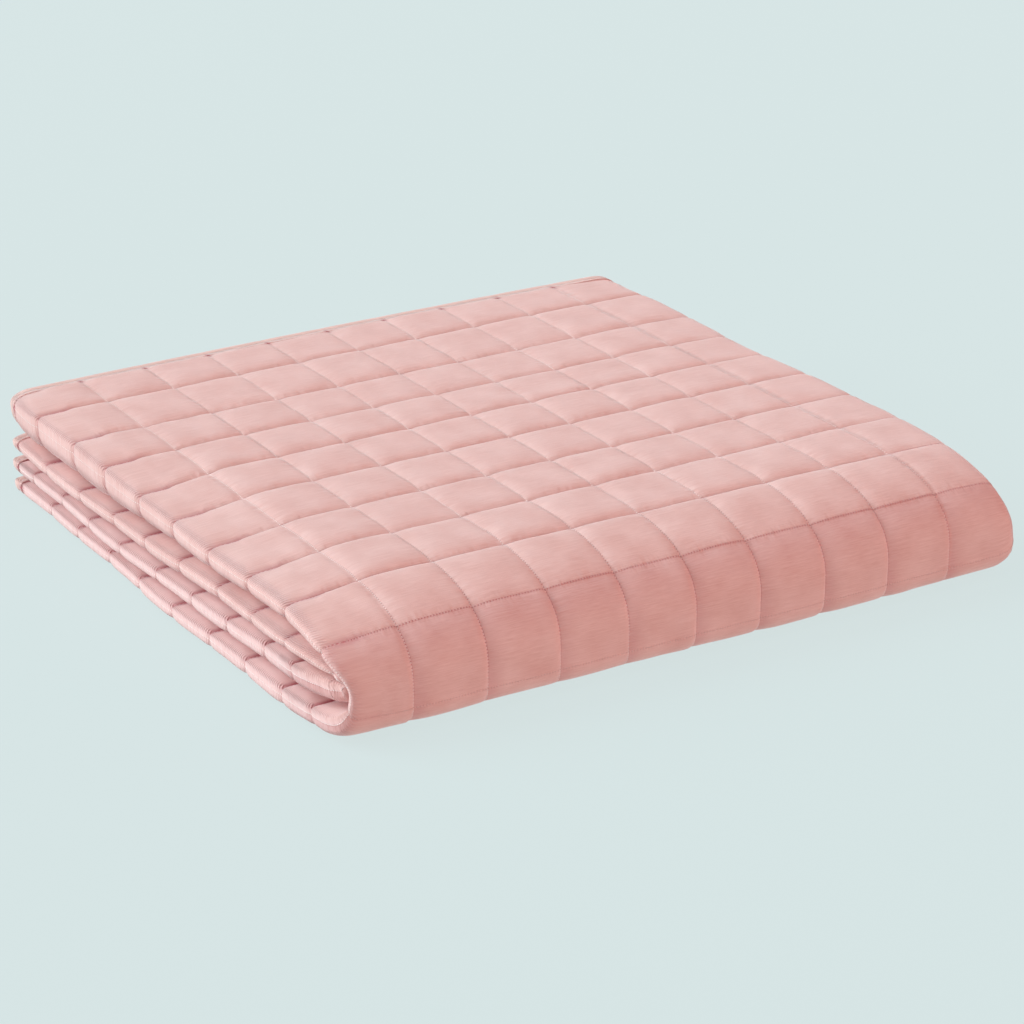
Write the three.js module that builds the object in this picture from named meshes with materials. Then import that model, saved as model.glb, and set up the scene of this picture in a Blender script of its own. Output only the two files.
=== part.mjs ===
// A quilted coverlet, folded for the shelf. The cloth is one padded sheet with a grid of square
// quilting. Both its side edges are folded to the middle, the strip is folded along its length, so
// that it is four layers thick, and the strip is then bent in half round its front.
// Millimetres. X runs along the front edge, Y to the back, where the bound ends lie, Z is up.

import * as THREE from 'three';

// Driving sizes.
const SQUARE = 62;                // one quilted square, seam to seam
const STACK = 1.5 * SQUARE;       // height of the eight layers, from top seams to bottom seams
const SEAM_THICKNESS = 3.1;       // the sheet where it is stitched through
const PUFF = 4.2;                 // rise of a square over its seams, on each side
const LAYER_GAP = 1.4;            // air between two layers
const PIECE_GAP = 0.35;           // between the cloth and its binding
const FLOOR_SINK = 2.8;           // how far the lowest squares bulge below their seams, pressed flat
const EDGE_MARGIN = 0.07;         // cloth past its last seam, in squares
const EDGE_THICKENING = 0.6;      // how much thicker the unstitched margin is, on each side
const BINDING_WIDTH = 0.18;       // in squares
const BINDING_THICKNESS = 5.6;
const BINDING_ROUNDING = 0.8;     // 0 is square, 1 comes to a sharp edge

// Depth of each row of squares along the fold, in squares, from the lower back edge, along the
// underside, up the front and back along the top.
const ROW_DEPTHS = {
  underside: [1.00, 0.95, 1.00, 0.97, 1.03, 1.00, 0.95, 1.03, 0.72],
  front: [0.82, 1.05, 0.98],
  top: [1.01, 1.00, 1.015, 0.97, 0.945, 0.99, 1.18, 0.89],
};
// Seam lines across one folded layer, in squares from its middle.
const COLUMN_SEAMS = [-4.02, -3.0, -1.98, -0.99, 0.01, 0.99, 2.0, 3.01, 4.02];
const LAYER_COLUMNS = 10;         // columns of squares from a crease to the wide fold or a free edge
const SECOND_CREASE = 2 * LAYER_COLUMNS;
const LEFT_EDGE = -5.12 * SQUARE; // how far the rolls on the left reach
const RIGHT_EDGE = 5.1 * SQUARE;
const SIDE_BULGE = 0.07 * SQUARE; // how far the squares stand out past the seams at both sides
const BACK_SEAM = 5.0 * SQUARE;   // last seam before the bound ends

// Outer line of the front turn: two quarters of a superellipse, which meet at the foremost point.
const TURN = {
  start: -2.45 * SQUARE,
  reach: 1.91 * SQUARE,
  upperHeight: 0.95 * SQUARE,
  upperPower: 2.6,
  lowerPower: 5.5,
  squeeze: 0.35,                  // how much less a layer reaches, as a share of its depth
};
// The front stands a little askew, and the bound end too, which also bows.
const FRONT_SKEW = { slope: 0.02, from: -4 * SQUARE, to: -1 * SQUARE };
const BACK_SKEW = { slope: 0.015, from: 2 * SQUARE, to: BACK_SEAM };
const BACK_BOW = { size: 0.08 * SQUARE, from: 3.9 * SQUARE, to: 5.2 * SQUARE };

// Height of the upper half of the stack, which is loose at the back and pressed in front.
const UPPER_HALF = {
  back: 0.93 * SQUARE,
  front: 0.73 * SQUARE,
  from: -3.7 * SQUARE,
  to: 0.6 * SQUARE,
};
// The share of half the stack that its two outer layers take.
const OUTER_PAIR = { lower: 0.45, front: 0.565, back: 0.63, from: -0.2 * SQUARE, to: 2.4 * SQUARE };
// Inside the front turn the inner two layers stand back from the outer two, on the left.
const SET_BACK = { size: 0.02 * SQUARE, full: -4.9 * SQUARE, end: -3.6 * SQUARE };

// The creases on the left. Each is two quarters of superellipses, which meet at its crest. In the
// upper half of the stack the quarter that looks up is rounder towards the front.
const CREASE = {
  half: 0.3,                      // along the sheet, in squares
  reach: 0.3 * SQUARE,
  crest: 0.27,                    // where the crest lies between its two layers
  upPower: 4.5,
  roundPower: 2.0,
  downPower: 2.4,
  floorPower: 2.6,
};
const CLEAR = 0.6;                // columns past which a crease no longer shapes its layers
const CREASE_SHARP = { from: -2.5 * SQUARE, to: 2.5 * SQUARE };
const CREASE_END = { draw: 0.1 * SQUARE, from: 4.2 * SQUARE, to: 5.3 * SQUARE };
// How far the crests stand in from the outermost one.
const LEAN = {
  lower: 0.05 * SQUARE,
  upper: 0.1 * SQUARE,
  inner: 0.04 * SQUARE,
  from: -3 * SQUARE,
  to: 3 * SQUARE,
};
// The corner of the outer crease in the front turn is pinched.
const PINCH = { size: 0.2 * SQUARE, row: 10.25, rows: 0.45 };
// The squares beside the upper crease sag towards it, but not at the back.
const DROOP = {
  size: 0.1 * SQUARE,
  from: 0.8 * SQUARE,
  to: 2.4 * SQUARE,
  columns: { from: 0.3, to: 1.3 },
};
// The fold on the right: half a superellipse across all four layers, between two places along the
// sheet, in squares from the first left crease.
const WIDE_FOLD = { from: 9.65, to: 10.75, reach: 0.4 * SQUARE, power: 2.6 };
const WIDE_BULGE = { size: 0.18 * SQUARE, row: 9.7, rows: 0.95 };
const WIDE_STAND = { size: 0.18 * SQUARE, from: 11.2, to: 13.5 };

// The inner layers lie a little behind the outer ones, in rows.
const SLIDE = { from: 11.5, to: 18.5, lower: 0.5, upper: 0.15 };
const EDGE_SEAM = { outer: 1 - LAYER_COLUMNS, inner: SECOND_CREASE + LAYER_COLUMNS - 1 };
const SHEET = { first: EDGE_SEAM.outer - EDGE_MARGIN, last: EDGE_SEAM.inner + EDGE_MARGIN };
const ROWS = 20;
const TURN_ROWS = { from: 9, to: 12 };

// Form of a square between its seams: higher values are flatter on top, and steeper at the seam.
const CROWN = { flatness: 3, steepness: 0.8 };
// Beside a crease the squares are less full and flatter, and the seam along it is drawn in less.
const CREASE_PULL = { from: 0.15, to: 0.42, share: 0.3, flatness: 8, dip: 0.5 };
// Towards the wide fold the squares are drawn flatter.
const WIDE_PULL = { from: 8.9, to: 9.9, share: 0.7 };
// Squares are drawn flatter over the lower front, between these rows.
const TAUT = { puff: 0.5, rows: [7.4, 8.4, 10.2, 11.4] };
// Squares are pressed as the outer layers leave them room, or the inner ones past these columns.
const INNER_PRESS = { from: 9.5, to: 10.9 };
// Squares on the outer layer are full between these columns.
const FULL = { from: -0.1, to: 0.3, until: 10.3, last: WIDE_FOLD.to };
// Squares differ a little in how full they are.
const FULLNESS = { spread: 0.1, perColumn: 2.3, perRow: 4.7 };
// Slow unevenness of the folded sides along the rows, as two waves.
const WANDER = [
  { size: 1.6, perRow: 0.83, phases: 1 },
  { size: 1.0, perRow: 2.07, phases: 2 },
];
const WANDER_PHASE = { outerCrease: 0.4, innerCrease: 2.2, wideFold: 4.1 };

const FABRIC = { color: 0xd9a39c, roughness: 0.9, metalness: 0 };
const BINDING_FABRIC = { color: 0xd09a92, roughness: 0.88, metalness: 0 };

const clamp = THREE.MathUtils.clamp;
const lerp = THREE.MathUtils.lerp;
const smoothstep = THREE.MathUtils.smoothstep;
const QUARTER_TURN = Math.PI / 2;

// Linear look-up: value at t in rising keys, carried straight on past the ends.
function between(keys, values, t) {
  let i = 1;
  while (i < keys.length - 1 && keys[i] < t) i += 1;
  const share = (t - keys[i - 1]) / (keys[i] - keys[i - 1]);
  return lerp(values[i - 1], values[i], share);
}

// A smooth hump of height 1 round a row, about as wide as the number of rows to each side.
function hump(row, place) {
  return Math.exp(-(((row - place.row) / place.rows) ** 2));
}

// A point of a superellipse of radius 1, at an angle from its foremost point.
function superellipse(angle, power) {
  const bent = (value) => Math.sign(value) * Math.abs(value) ** (2 / power);
  return { across: bent(Math.cos(angle)), along: bent(Math.sin(angle)) };
}

// The path that the outer seams follow, as points with the distance along it.
function outerPath() {
  const quarterSteps = 96;
  const angles = Array.from({ length: quarterSteps + 1 }, (_, i) => (i / quarterSteps) * QUARTER_TURN);
  const foremost = -TURN.upperHeight;
  const quarter = (power, height) => angles.map((angle) => {
    const { across, along } = superellipse(angle, power);
    return { y: TURN.start - TURN.reach * along, z: foremost + height * across };
  });
  const points = [
    { y: BACK_SEAM, z: -STACK },
    ...quarter(TURN.lowerPower, TURN.upperHeight - STACK),
    ...quarter(TURN.upperPower, TURN.upperHeight).slice(0, -1).reverse(),
    { y: BACK_SEAM, z: 0 },
  ];
  let along = 0;
  points.forEach((point, i) => {
    if (i > 0) along += Math.hypot(point.y - points[i - 1].y, point.z - points[i - 1].z);
    point.along = along;
  });
  return points;
}

const PATH = outerPath();
const PATH_LENGTH = PATH[PATH.length - 1].along;
const PATH_KEYS = PATH.map((point) => point.along);
const PATH_Y = PATH.map((point) => point.y);
const PATH_Z = PATH.map((point) => point.z);

// Distance along the path of each row seam, evened out so that the last one ends the path.
function rowDistances() {
  const depths = [...ROW_DEPTHS.underside, ...ROW_DEPTHS.front, ...ROW_DEPTHS.top];
  const total = depths.reduce((sum, depth) => sum + depth, 0);
  const distances = [0];
  depths.forEach((depth) => distances.push(distances.at(-1) + (depth / total) * PATH_LENGTH));
  return distances;
}

const ROW_KEYS = Array.from({ length: ROWS + 1 }, (_, row) => row);
const ROW_ALONG = rowDistances();

// Point of the outer path at a row, with the direction out of the stack.
function outerAt(row) {
  const along = between(ROW_KEYS, ROW_ALONG, row);
  const y = between(PATH_KEYS, PATH_Y, along);
  const z = between(PATH_KEYS, PATH_Z, along);
  const span = 0.03 * SQUARE;
  const dy = between(PATH_KEYS, PATH_Y, along + span) - between(PATH_KEYS, PATH_Y, along - span);
  const dz = between(PATH_KEYS, PATH_Z, along + span) - between(PATH_KEYS, PATH_Z, along - span);
  const length = Math.hypot(dy, dz);
  return { y, z, outY: -dz / length, outZ: dy / length };
}

// Height of the upper half of the stack, at a distance from the back.
function upperHeight(y) {
  const loose = clamp((y - UPPER_HALF.from) / (UPPER_HALF.to - UPPER_HALF.from), 0, 1);
  return lerp(UPPER_HALF.front, UPPER_HALF.back, loose);
}

// 0 in the lower half of the stack and 1 in its upper half, blended round the turn.
function upperShare(row) {
  return smoothstep(row, TURN_ROWS.from, TURN_ROWS.to);
}

// The four layers on a row whose outer seams are at y: the depths of their middles under the outer
// seams, and how far the squares can rise between them. Two layers share each of two slots.
function layersAt(row, y) {
  const upper = upperHeight(y);
  const share = upperShare(row);
  const half = lerp(STACK - upper, upper, share);
  const outerShare = lerp(OUTER_PAIR.front, OUTER_PAIR.back, smoothstep(y, OUTER_PAIR.from, OUTER_PAIR.to));
  const outerPair = lerp(OUTER_PAIR.lower, outerShare, share) * half;
  const seams = 2 * SEAM_THICKNESS;
  const outerPuff = Math.min(PUFF, (outerPair - 1.5 * LAYER_GAP - seams) / 3);
  const innerPuff = Math.min(PUFF, (half - outerPair - 2 * LAYER_GAP - seams) / 4);
  const margin = (LAYER_GAP + SEAM_THICKNESS) / 2;
  const depths = [
    SEAM_THICKNESS / 2,
    outerPair - margin - outerPuff,
    outerPair + margin + innerPuff,
    half - margin - innerPuff,
  ];
  return { depths, half, outerPair, outerPuff, innerPuff };
}

// The point at x and a depth under the outer seams, on a row. Above those seams it stands straight
// out; under them the outer path is drawn in towards the plane in which the stack is bent in half.
function wrapped(x, depth, row, outer, layers) {
  let { y, z } = outer;
  if (depth < 0) {
    y -= outer.outY * depth;
    z -= outer.outZ * depth;
  } else {
    const middle = -upperHeight(outer.y);
    const aside = 1 - smoothstep(x, SET_BACK.full, SET_BACK.end);
    const past = clamp((depth - layers.outerPair) / LAYER_GAP + 0.5, 0, 1);
    const inward = TURN.squeeze * depth + SET_BACK.size * aside * past;
    if (y < TURN.start) y = TURN.start + ((y - TURN.start) * (TURN.reach - inward)) / TURN.reach;
    z = middle + (1 - depth / layers.half) * (z - middle);
  }
  y -= FRONT_SKEW.slope * x * (1 - smoothstep(y, FRONT_SKEW.from, FRONT_SKEW.to));
  y += BACK_SKEW.slope * x * smoothstep(outer.y, BACK_SKEW.from, BACK_SKEW.to);
  const bow = BACK_BOW.size * smoothstep(outer.y, BACK_BOW.from, BACK_BOW.to) * upperShare(row);
  y += bow * (1 - (x / RIGHT_EDGE) ** 2);
  return new THREE.Vector3(x, y, Math.max(z, -STACK - FLOOR_SINK));
}

// How far a folded side strays from its straight line at a row.
function wander(row, phase) {
  return WANDER.reduce((sum, w) => sum + w.size * Math.sin(w.perRow * row + w.phases * phase), 0);
}

// Where a layer runs across the strip: x at a number of squares from the left crease.
function columnX(column, creaseX, endColumn, endX) {
  const keys = [CREASE.half, 1, 2, 3, 4, 5, 6, 7, 8, 9, endColumn];
  const seams = COLUMN_SEAMS.map((seam) => seam * SQUARE);
  return between(keys, [creaseX, ...seams, endX], column);
}

// The insides of the folds on a row whose outer seams are at y: where the straight layers end.
function foldPlaces(row, y) {
  const upper = upperShare(row);
  const left = LEFT_EDGE + SIDE_BULGE + CREASE.reach;
  const lean = lerp(LEAN.lower, LEAN.upper * (1 - smoothstep(y, LEAN.from, LEAN.to)), upper);
  const endDraw = CREASE_END.draw * upper * smoothstep(y, CREASE_END.from, CREASE_END.to);
  const stand = WIDE_STAND.size * smoothstep(row, WIDE_STAND.from, WIDE_STAND.to);
  const bulge = WIDE_BULGE.size * hump(row, WIDE_BULGE) + stand;
  const pinch = PINCH.size * hump(row, PINCH);
  return {
    outerX: left + wander(row, WANDER_PHASE.outerCrease) + lean + endDraw + pinch,
    innerX: left + wander(row, WANDER_PHASE.innerCrease) + LEAN.inner,
    wideX: RIGHT_EDGE - SIDE_BULGE - WIDE_FOLD.reach + bulge + wander(row, WANDER_PHASE.wideFold),
    freeX: (COLUMN_SEAMS.at(-1) + 1) * SQUARE,
  };
}

// Section of a left crease at an offset along the sheet from its crest, between the depths of a
// shallow and a deep layer, for a point that stands out from the middle of the cloth by a lift.
function creaseSection(offset, lift, row, y, shallow, deep, lowestPower) {
  const upper = upperShare(row);
  const sharpBehind = smoothstep(y, CREASE_SHARP.from, CREASE_SHARP.to);
  const sharp = sharpBehind * (1 - smoothstep(y, CREASE_END.from, CREASE_END.to));
  const upPower = lerp(CREASE.upPower, lerp(CREASE.roundPower, CREASE.upPower, sharp), upper);
  const looksUp = offset > 0 ? upper : 1 - upper;
  const power = lerp(lerp(lowestPower, CREASE.downPower, upper), upPower, looksUp);
  const middle = lerp(shallow, deep, lerp(1 - CREASE.crest, CREASE.crest, upper));
  const angle = clamp(offset / CREASE.half, -1, 1) * QUARTER_TURN;
  const { across, along } = superellipse(angle, power);
  const size = offset > 0 ? middle - shallow : deep - middle;
  return { x: -(CREASE.reach + lift) * across, depth: middle - (size + lift) * along };
}

// A point of the sheet in the section across the strip: x, and the depth under the outer seams.
function section(column, row, y, lift, layers) {
  const { outerX, innerX, wideX, freeX } = foldPlaces(row, y);
  const [first, second, third, fourth] = layers.depths;
  const sag = DROOP.size * upperShare(row) * (1 - smoothstep(y, DROOP.from, DROOP.to));
  const nearCrease = 1 - smoothstep(Math.abs(column), DROOP.columns.from, DROOP.columns.to);
  const drooped = first + sag * nearCrease;
  if (column <= -CREASE.half) {
    return { x: columnX(-column, outerX, LAYER_COLUMNS, freeX), depth: second + lift };
  }
  if (column < CREASE.half) {
    const crease = creaseSection(column, lift, row, y, drooped, second, CREASE.floorPower);
    return { x: outerX + crease.x, depth: crease.depth };
  }
  if (column <= WIDE_FOLD.from) {
    return { x: columnX(column, outerX, WIDE_FOLD.from, wideX), depth: drooped - lift };
  }
  if (column < WIDE_FOLD.to) {
    const share = (column - WIDE_FOLD.from) / (WIDE_FOLD.to - WIDE_FOLD.from);
    const { across, along } = superellipse((2 * share - 1) * QUARTER_TURN, WIDE_FOLD.power);
    const depth = (first + fourth) / 2 + ((fourth - first) / 2 + lift) * along;
    return { x: wideX + (WIDE_FOLD.reach + lift) * across, depth };
  }
  const fromSecond = column - SECOND_CREASE;
  if (fromSecond <= -CREASE.half) {
    const share = (column - WIDE_FOLD.to) / (SECOND_CREASE - CREASE.half - WIDE_FOLD.to);
    return { x: lerp(wideX, innerX, share), depth: fourth + lift };
  }
  if (fromSecond < CREASE.half) {
    const crease = creaseSection(fromSecond, lift, row, y, third, fourth, CREASE.downPower);
    return { x: innerX + crease.x, depth: crease.depth };
  }
  return { x: columnX(fromSecond, innerX, LAYER_COLUMNS, freeX), depth: third - lift };
}

// Crown of a square across one direction: 0 on the seams, 1 in the middle.
function crown(position, flatness) {
  const across = Math.abs(2 * (position - Math.floor(position)) - 1);
  return (1 - across ** flatness) ** CROWN.steepness;
}

// How full a square is, as a share of PUFF.
function fullness(column, row) {
  const [from, full, until, to] = TAUT.rows;
  const taut = smoothstep(row, from, full) * (1 - smoothstep(row, until, to));
  const phase = FULLNESS.perColumn * Math.floor(column) + FULLNESS.perRow * Math.floor(row);
  return (1 + FULLNESS.spread * Math.sin(phase)) * lerp(1, TAUT.puff, taut);
}

// The row of the path on which a point lies.
function slidRow(column, row) {
  const inner = smoothstep(column, SLIDE.from, SLIDE.to);
  const ends = clamp(Math.min(row, ROWS - row), 0, 1);
  return row - inner * ends * lerp(SLIDE.lower, SLIDE.upper, upperShare(row));
}

// A point of the folded sheet. Side is 1 on the face and -1 on the back of the cloth; half gives
// half the thickness of the sheet from the column, the row, the side and the layers.
function foldedPoint(column, row, side, half) {
  const pathRow = slidRow(column, row);
  const outer = outerAt(pathRow);
  const layers = layersAt(pathRow, outer.y);
  const lift = side * half(column, row, side, layers);
  const { x, depth } = section(column, pathRow, outer.y, lift, layers);
  return wrapped(x, depth, pathRow, outer, layers);
}

// A closed solid of a stretch of the folded sheet: its face and its back, each at their own
// columns, carried along the rows, with the two ends closed by a strip between face and back.
function sheetSolid(faceColumns, backColumns, rows, half) {
  const ring = [
    ...faceColumns.map((column) => ({ column, side: 1 })),
    ...[...backColumns].reverse().map((column) => ({ column, side: -1 })),
  ];
  const positions = [];
  rows.forEach((row) => {
    ring.forEach(({ column, side }) => {
      positions.push(...foldedPoint(column, row, side, half).toArray());
    });
  });
  const index = [];
  for (let r = 0; r < rows.length - 1; r += 1) {
    for (let i = 0; i < ring.length; i += 1) {
      const next = (i + 1) % ring.length;
      const a = r * ring.length + i;
      const b = r * ring.length + next;
      const c = a + ring.length;
      const d = b + ring.length;
      index.push(a, b, d, a, d, c);
    }
  }
  const end = (rows.length - 1) * ring.length;
  let face = 0;
  let back = 0;
  const backAt = (i) => ring.length - 1 - i;
  while (face < faceColumns.length - 1 || back < backColumns.length - 1) {
    const faceLeft = face < faceColumns.length - 1;
    const backLeft = back < backColumns.length - 1;
    const stepFace = faceLeft && (!backLeft || faceColumns[face + 1] <= backColumns[back + 1]);
    const third = stepFace ? face + 1 : backAt(back + 1);
    const triangle = [face, backAt(back), third];
    index.push(...triangle);
    index.push(end + triangle[1], end + triangle[0], end + triangle[2]);
    if (stepFace) face += 1;
    else back += 1;
  }
  const geometry = new THREE.BufferGeometry();
  geometry.setAttribute('position', new THREE.Float32BufferAttribute(positions, 3));
  geometry.setIndex(index);
  geometry.computeVertexNormals();
  return geometry;
}

// Half the thickness of the padded cloth. The squares are raised on every face that shows; the
// faces between the layers rise with the rows alone, but for the squares beside a crease.
function paddedHalf(column, row, side, layers) {
  const seam = SEAM_THICKNESS / 2;
  if (row <= 0 || row >= ROWS) return seam + EDGE_THICKENING;
  const onFace = side > 0 ? 1 : 0;
  const fullTo = 1 - smoothstep(column, FULL.until, FULL.last);
  const shown = onFace * smoothstep(column, FULL.from, FULL.to) * fullTo;
  const inner = smoothstep(column, INNER_PRESS.from, INNER_PRESS.to);
  const pressed = lerp(layers.outerPuff, layers.innerPuff, inner);
  const fromCrease = Math.min(Math.abs(column), Math.abs(column - SECOND_CREASE));
  const atCrease = 1 - smoothstep(fromCrease, CREASE_PULL.from, CREASE_PULL.to);
  const creasePull = 1 - onFace * CREASE_PULL.share * atCrease;
  const widePull = 1 - shown * WIDE_PULL.share * smoothstep(column, WIDE_PULL.from, WIDE_PULL.to);
  const puff = lerp(pressed, PUFF * fullness(column, row), shown) * creasePull * widePull;
  const raised = shown > 0 || fromCrease < CLEAR;
  const across = raised ? lerp(crown(column, CROWN.flatness), 1, CREASE_PULL.dip * atCrease) : 1;
  return seam + puff * across * crown(row, lerp(CROWN.flatness, CREASE_PULL.flatness, atCrease));
}

// Half the thickness of a bound edge, rounded towards its outer side.
function boundHalf(distance) {
  return (BINDING_THICKNESS / 2) * Math.sqrt(1 - BINDING_ROUNDING * clamp(distance, 0, 1) ** 3);
}

// Numbers from first to last in equal steps.
function steps(first, last, count) {
  return Array.from({ length: count + 1 }, (_, i) => lerp(first, last, i / count));
}

// Columns of the face: three to a square where it shows, few between the layers. Past a crease
// the first squares still show, so the layer's first columns lie at CLEAR from it. The outer layer
// has whole columns on its back and along its binding, so that all three bow alike.
const THIRD = 1 / 3;
const wholeColumns = steps(1, LAYER_COLUMNS - 1, LAYER_COLUMNS - 2);
const wideFoldColumns = (count) => steps(WIDE_FOLD.from, WIDE_FOLD.to, count);
const creaseColumns = (crease, count) => steps(crease - CREASE.half, crease + CREASE.half, count);
const FACE_COLUMNS = [
  SHEET.first, -CLEAR, ...creaseColumns(0, 8), ...steps(2 * THIRD, 28 * THIRD, 26),
  ...wideFoldColumns(8), SECOND_CREASE - CLEAR, ...creaseColumns(SECOND_CREASE, 8),
  SECOND_CREASE + CLEAR, SHEET.last,
];
const BACK_COLUMNS = [
  SHEET.first, -CLEAR, ...creaseColumns(0, 6), CLEAR, ...wholeColumns, ...wideFoldColumns(6),
  SECOND_CREASE - CLEAR, ...creaseColumns(SECOND_CREASE, 6), SECOND_CREASE + CLEAR, SHEET.last,
];
const BINDING_COLUMNS = [
  SHEET.first - BINDING_WIDTH, -CLEAR, ...creaseColumns(0, 8), CLEAR, ...wholeColumns,
  ...wideFoldColumns(8), SECOND_CREASE - CLEAR, ...creaseColumns(SECOND_CREASE, 8),
  SECOND_CREASE + CLEAR, SHEET.last + BINDING_WIDTH,
];
// Rows and columns across a binding, as shares of its width.
const BINDING_STEPS = [0, 0.4, 0.8, 1];

const CLOTH_ROWS = [-EDGE_MARGIN, ...steps(0, ROWS, 3 * ROWS), ROWS + EDGE_MARGIN];
// The hidden side bindings have all of these rows in the turn, and whole rows elsewhere.
const SIDE_ROWS = CLOTH_ROWS.filter((row) => {
  const inTurn = row > TURN_ROWS.from - 1 && row < TURN_ROWS.to + 1;
  return inTurn || Math.abs(row - Math.round(row)) < THIRD / 2;
});
const GAP_ROWS = PIECE_GAP / SQUARE;

function named(geometry, finish, name) {
  const mesh = new THREE.Mesh(geometry, new THREE.MeshStandardMaterial(finish));
  mesh.name = name;
  return mesh;
}

// The padded cloth, one piece.
function quiltedCloth() {
  return named(sheetSolid(FACE_COLUMNS, BACK_COLUMNS, CLOTH_ROWS, paddedHalf), FABRIC, 'quilted_cloth');
}

// Binding along one end of the sheet, which follows all four layers.
function endBinding(name, edgeRow, way) {
  const inner = edgeRow + way * (EDGE_MARGIN + GAP_ROWS);
  const width = BINDING_WIDTH - GAP_ROWS;
  const rows = BINDING_STEPS.map((share) => inner + way * share * width);
  if (way < 0) rows.reverse();
  const half = (column, row) => boundHalf((way * (row - inner)) / width);
  return named(sheetSolid(BINDING_COLUMNS, BINDING_COLUMNS, rows, half), BINDING_FABRIC, name);
}

// Binding along one side of the sheet, hidden inside the wide fold.
function sideBinding(name, edgeColumn, way) {
  const inner = edgeColumn + way * (EDGE_MARGIN + GAP_ROWS);
  const width = BINDING_WIDTH - GAP_ROWS;
  const columns = BINDING_STEPS.map((share) => inner + way * share * width);
  if (way < 0) columns.reverse();
  const half = (column) => boundHalf((way * (column - inner)) / width);
  return named(sheetSolid(columns, columns, SIDE_ROWS, half), BINDING_FABRIC, name);
}

const coverlet = new THREE.Group();
coverlet.add(quiltedCloth());
coverlet.add(endBinding('end_binding_upper', ROWS, 1));
coverlet.add(endBinding('end_binding_lower', 0, -1));
coverlet.add(sideBinding('side_binding_outer', EDGE_SEAM.outer, -1));
coverlet.add(sideBinding('side_binding_inner', EDGE_SEAM.inner, 1));

// The origin is under the middle of the folded coverlet, on the surface that it lies on.
const bounds = new THREE.Box3().setFromObject(coverlet);
const middle = bounds.getCenter(new THREE.Vector3());
coverlet.position.set(-middle.x, -middle.y, -bounds.min.z);

export default coverlet;
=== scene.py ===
"""A quilted coverlet, folded in a flat stack: its cloth, its binding and its stitching.

The cloth is worked out as a map from the flat coverlet to the folded one. A place on the flat cloth
is a column and a row, counted in quilted squares, with seams at the whole numbers. Column 0 is the
first crease on the left of the stack and column 20 the second one; row 0 is the lower bound end and
row 20 the upper one. All lengths are metres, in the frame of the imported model.
"""

import logging
import math
from collections.abc import Callable, Sequence
from dataclasses import dataclass
from enum import Enum

import bpy
import numpy as np
from mathutils import Matrix, Vector


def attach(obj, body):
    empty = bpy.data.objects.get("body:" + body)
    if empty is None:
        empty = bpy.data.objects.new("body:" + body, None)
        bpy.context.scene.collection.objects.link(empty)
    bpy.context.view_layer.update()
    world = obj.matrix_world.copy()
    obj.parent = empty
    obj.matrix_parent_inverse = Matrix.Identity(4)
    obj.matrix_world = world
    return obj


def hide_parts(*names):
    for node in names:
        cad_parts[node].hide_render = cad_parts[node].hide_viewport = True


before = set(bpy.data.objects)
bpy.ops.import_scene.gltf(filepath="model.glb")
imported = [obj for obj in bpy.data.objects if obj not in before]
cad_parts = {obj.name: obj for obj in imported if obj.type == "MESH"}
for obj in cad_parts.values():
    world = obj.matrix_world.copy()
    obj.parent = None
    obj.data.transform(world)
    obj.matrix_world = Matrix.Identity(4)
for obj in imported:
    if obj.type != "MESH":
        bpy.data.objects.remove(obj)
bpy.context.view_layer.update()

log = logging.getLogger("coverlet")

Array = np.ndarray
Colour = tuple[float, float, float]
SurfaceAt = Callable[[Array, Array], Array]

BODY = "root"
CLOTH_MAP = "cloth"        # the UV map: column and row of every point of the cloth
MIX_SOCKETS = (0, 6, 7)    # the Mix node's factor and its two colours, which share their names


def between(keys: Array, values: Array, at: Array) -> Array:
    """Looks values up along rising keys, and carries straight on past both ends.

    Args:
        keys: rising numbers.
        values: a value for each key.
        at: where to look up.

    Returns:
        Value before + share of the step between its keys * step between its values.
    """
    upper = np.clip(np.searchsorted(keys, at), 1, len(keys) - 1)
    share = (at - keys[upper - 1]) / (keys[upper] - keys[upper - 1])
    return values[upper - 1] + share * (values[upper] - values[upper - 1])


def smoothstep(at: Array, first: float, last: float) -> Array:
    """Goes from 0 at first to 1 at last as 3 s^2 - 2 s^3 of the share s of the way."""
    share = np.clip((at - first) / (last - first), 0.0, 1.0)
    return share * share * (3.0 - 2.0 * share)


def mix(start: Array, end: Array, share: Array) -> Array:
    """Start + (end - start) * share."""
    return start + (end - start) * share


def bell(at: Array, middle: float, reach: float) -> Array:
    """1 at middle, falling away on both sides as exp(-d^2), d being the distance in reaches."""
    return np.exp(-(((at - middle) / reach) ** 2))


def plateau(at: Array, first: float, begin: float, until: float, last: float) -> Array:
    """Rises from 0 to 1 between first and begin, and falls back to 0 between until and last."""
    return smoothstep(at, first, begin) * (1 - smoothstep(at, until, last))


def superellipse(angle: Array, power: Array | float) -> tuple[Array, Array]:
    """Sizes of the cosine and the sine of an angle, each to the power 2 / power."""
    return np.abs(np.cos(angle)) ** (2 / power), np.abs(np.sin(angle)) ** (2 / power)


def direction(azimuth: float, elevation: float) -> Vector:
    """A unit vector. At azimuth 0 it points to the front, and at 90 degrees to the right."""
    level = math.cos(elevation)
    return Vector((math.sin(azimuth) * level, -math.cos(azimuth) * level, math.sin(elevation)))


@dataclass(frozen=True)
class FrontTurn:
    """Outer line of the turn round the front of the stack, in squares.

    It is two quarters of a superellipse, one above the foremost point and one below it.
    """

    start: float = -2.45
    reach: float = 1.91
    upper_height: float = 0.95
    upper_power: float = 2.6
    lower_power: float = 5.5
    quarter_steps: int = 240
    chord: float = 0.03
    skew: float = 0.02
    skew_from: float = -1.0
    skew_to: float = -4.0


@dataclass(frozen=True)
class SetBack:
    """How the inner wrap stands back from the outer one inside the front turn, in squares."""

    size: float = 0.02
    full_x: float = -4.9
    end_x: float = -3.6


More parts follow.
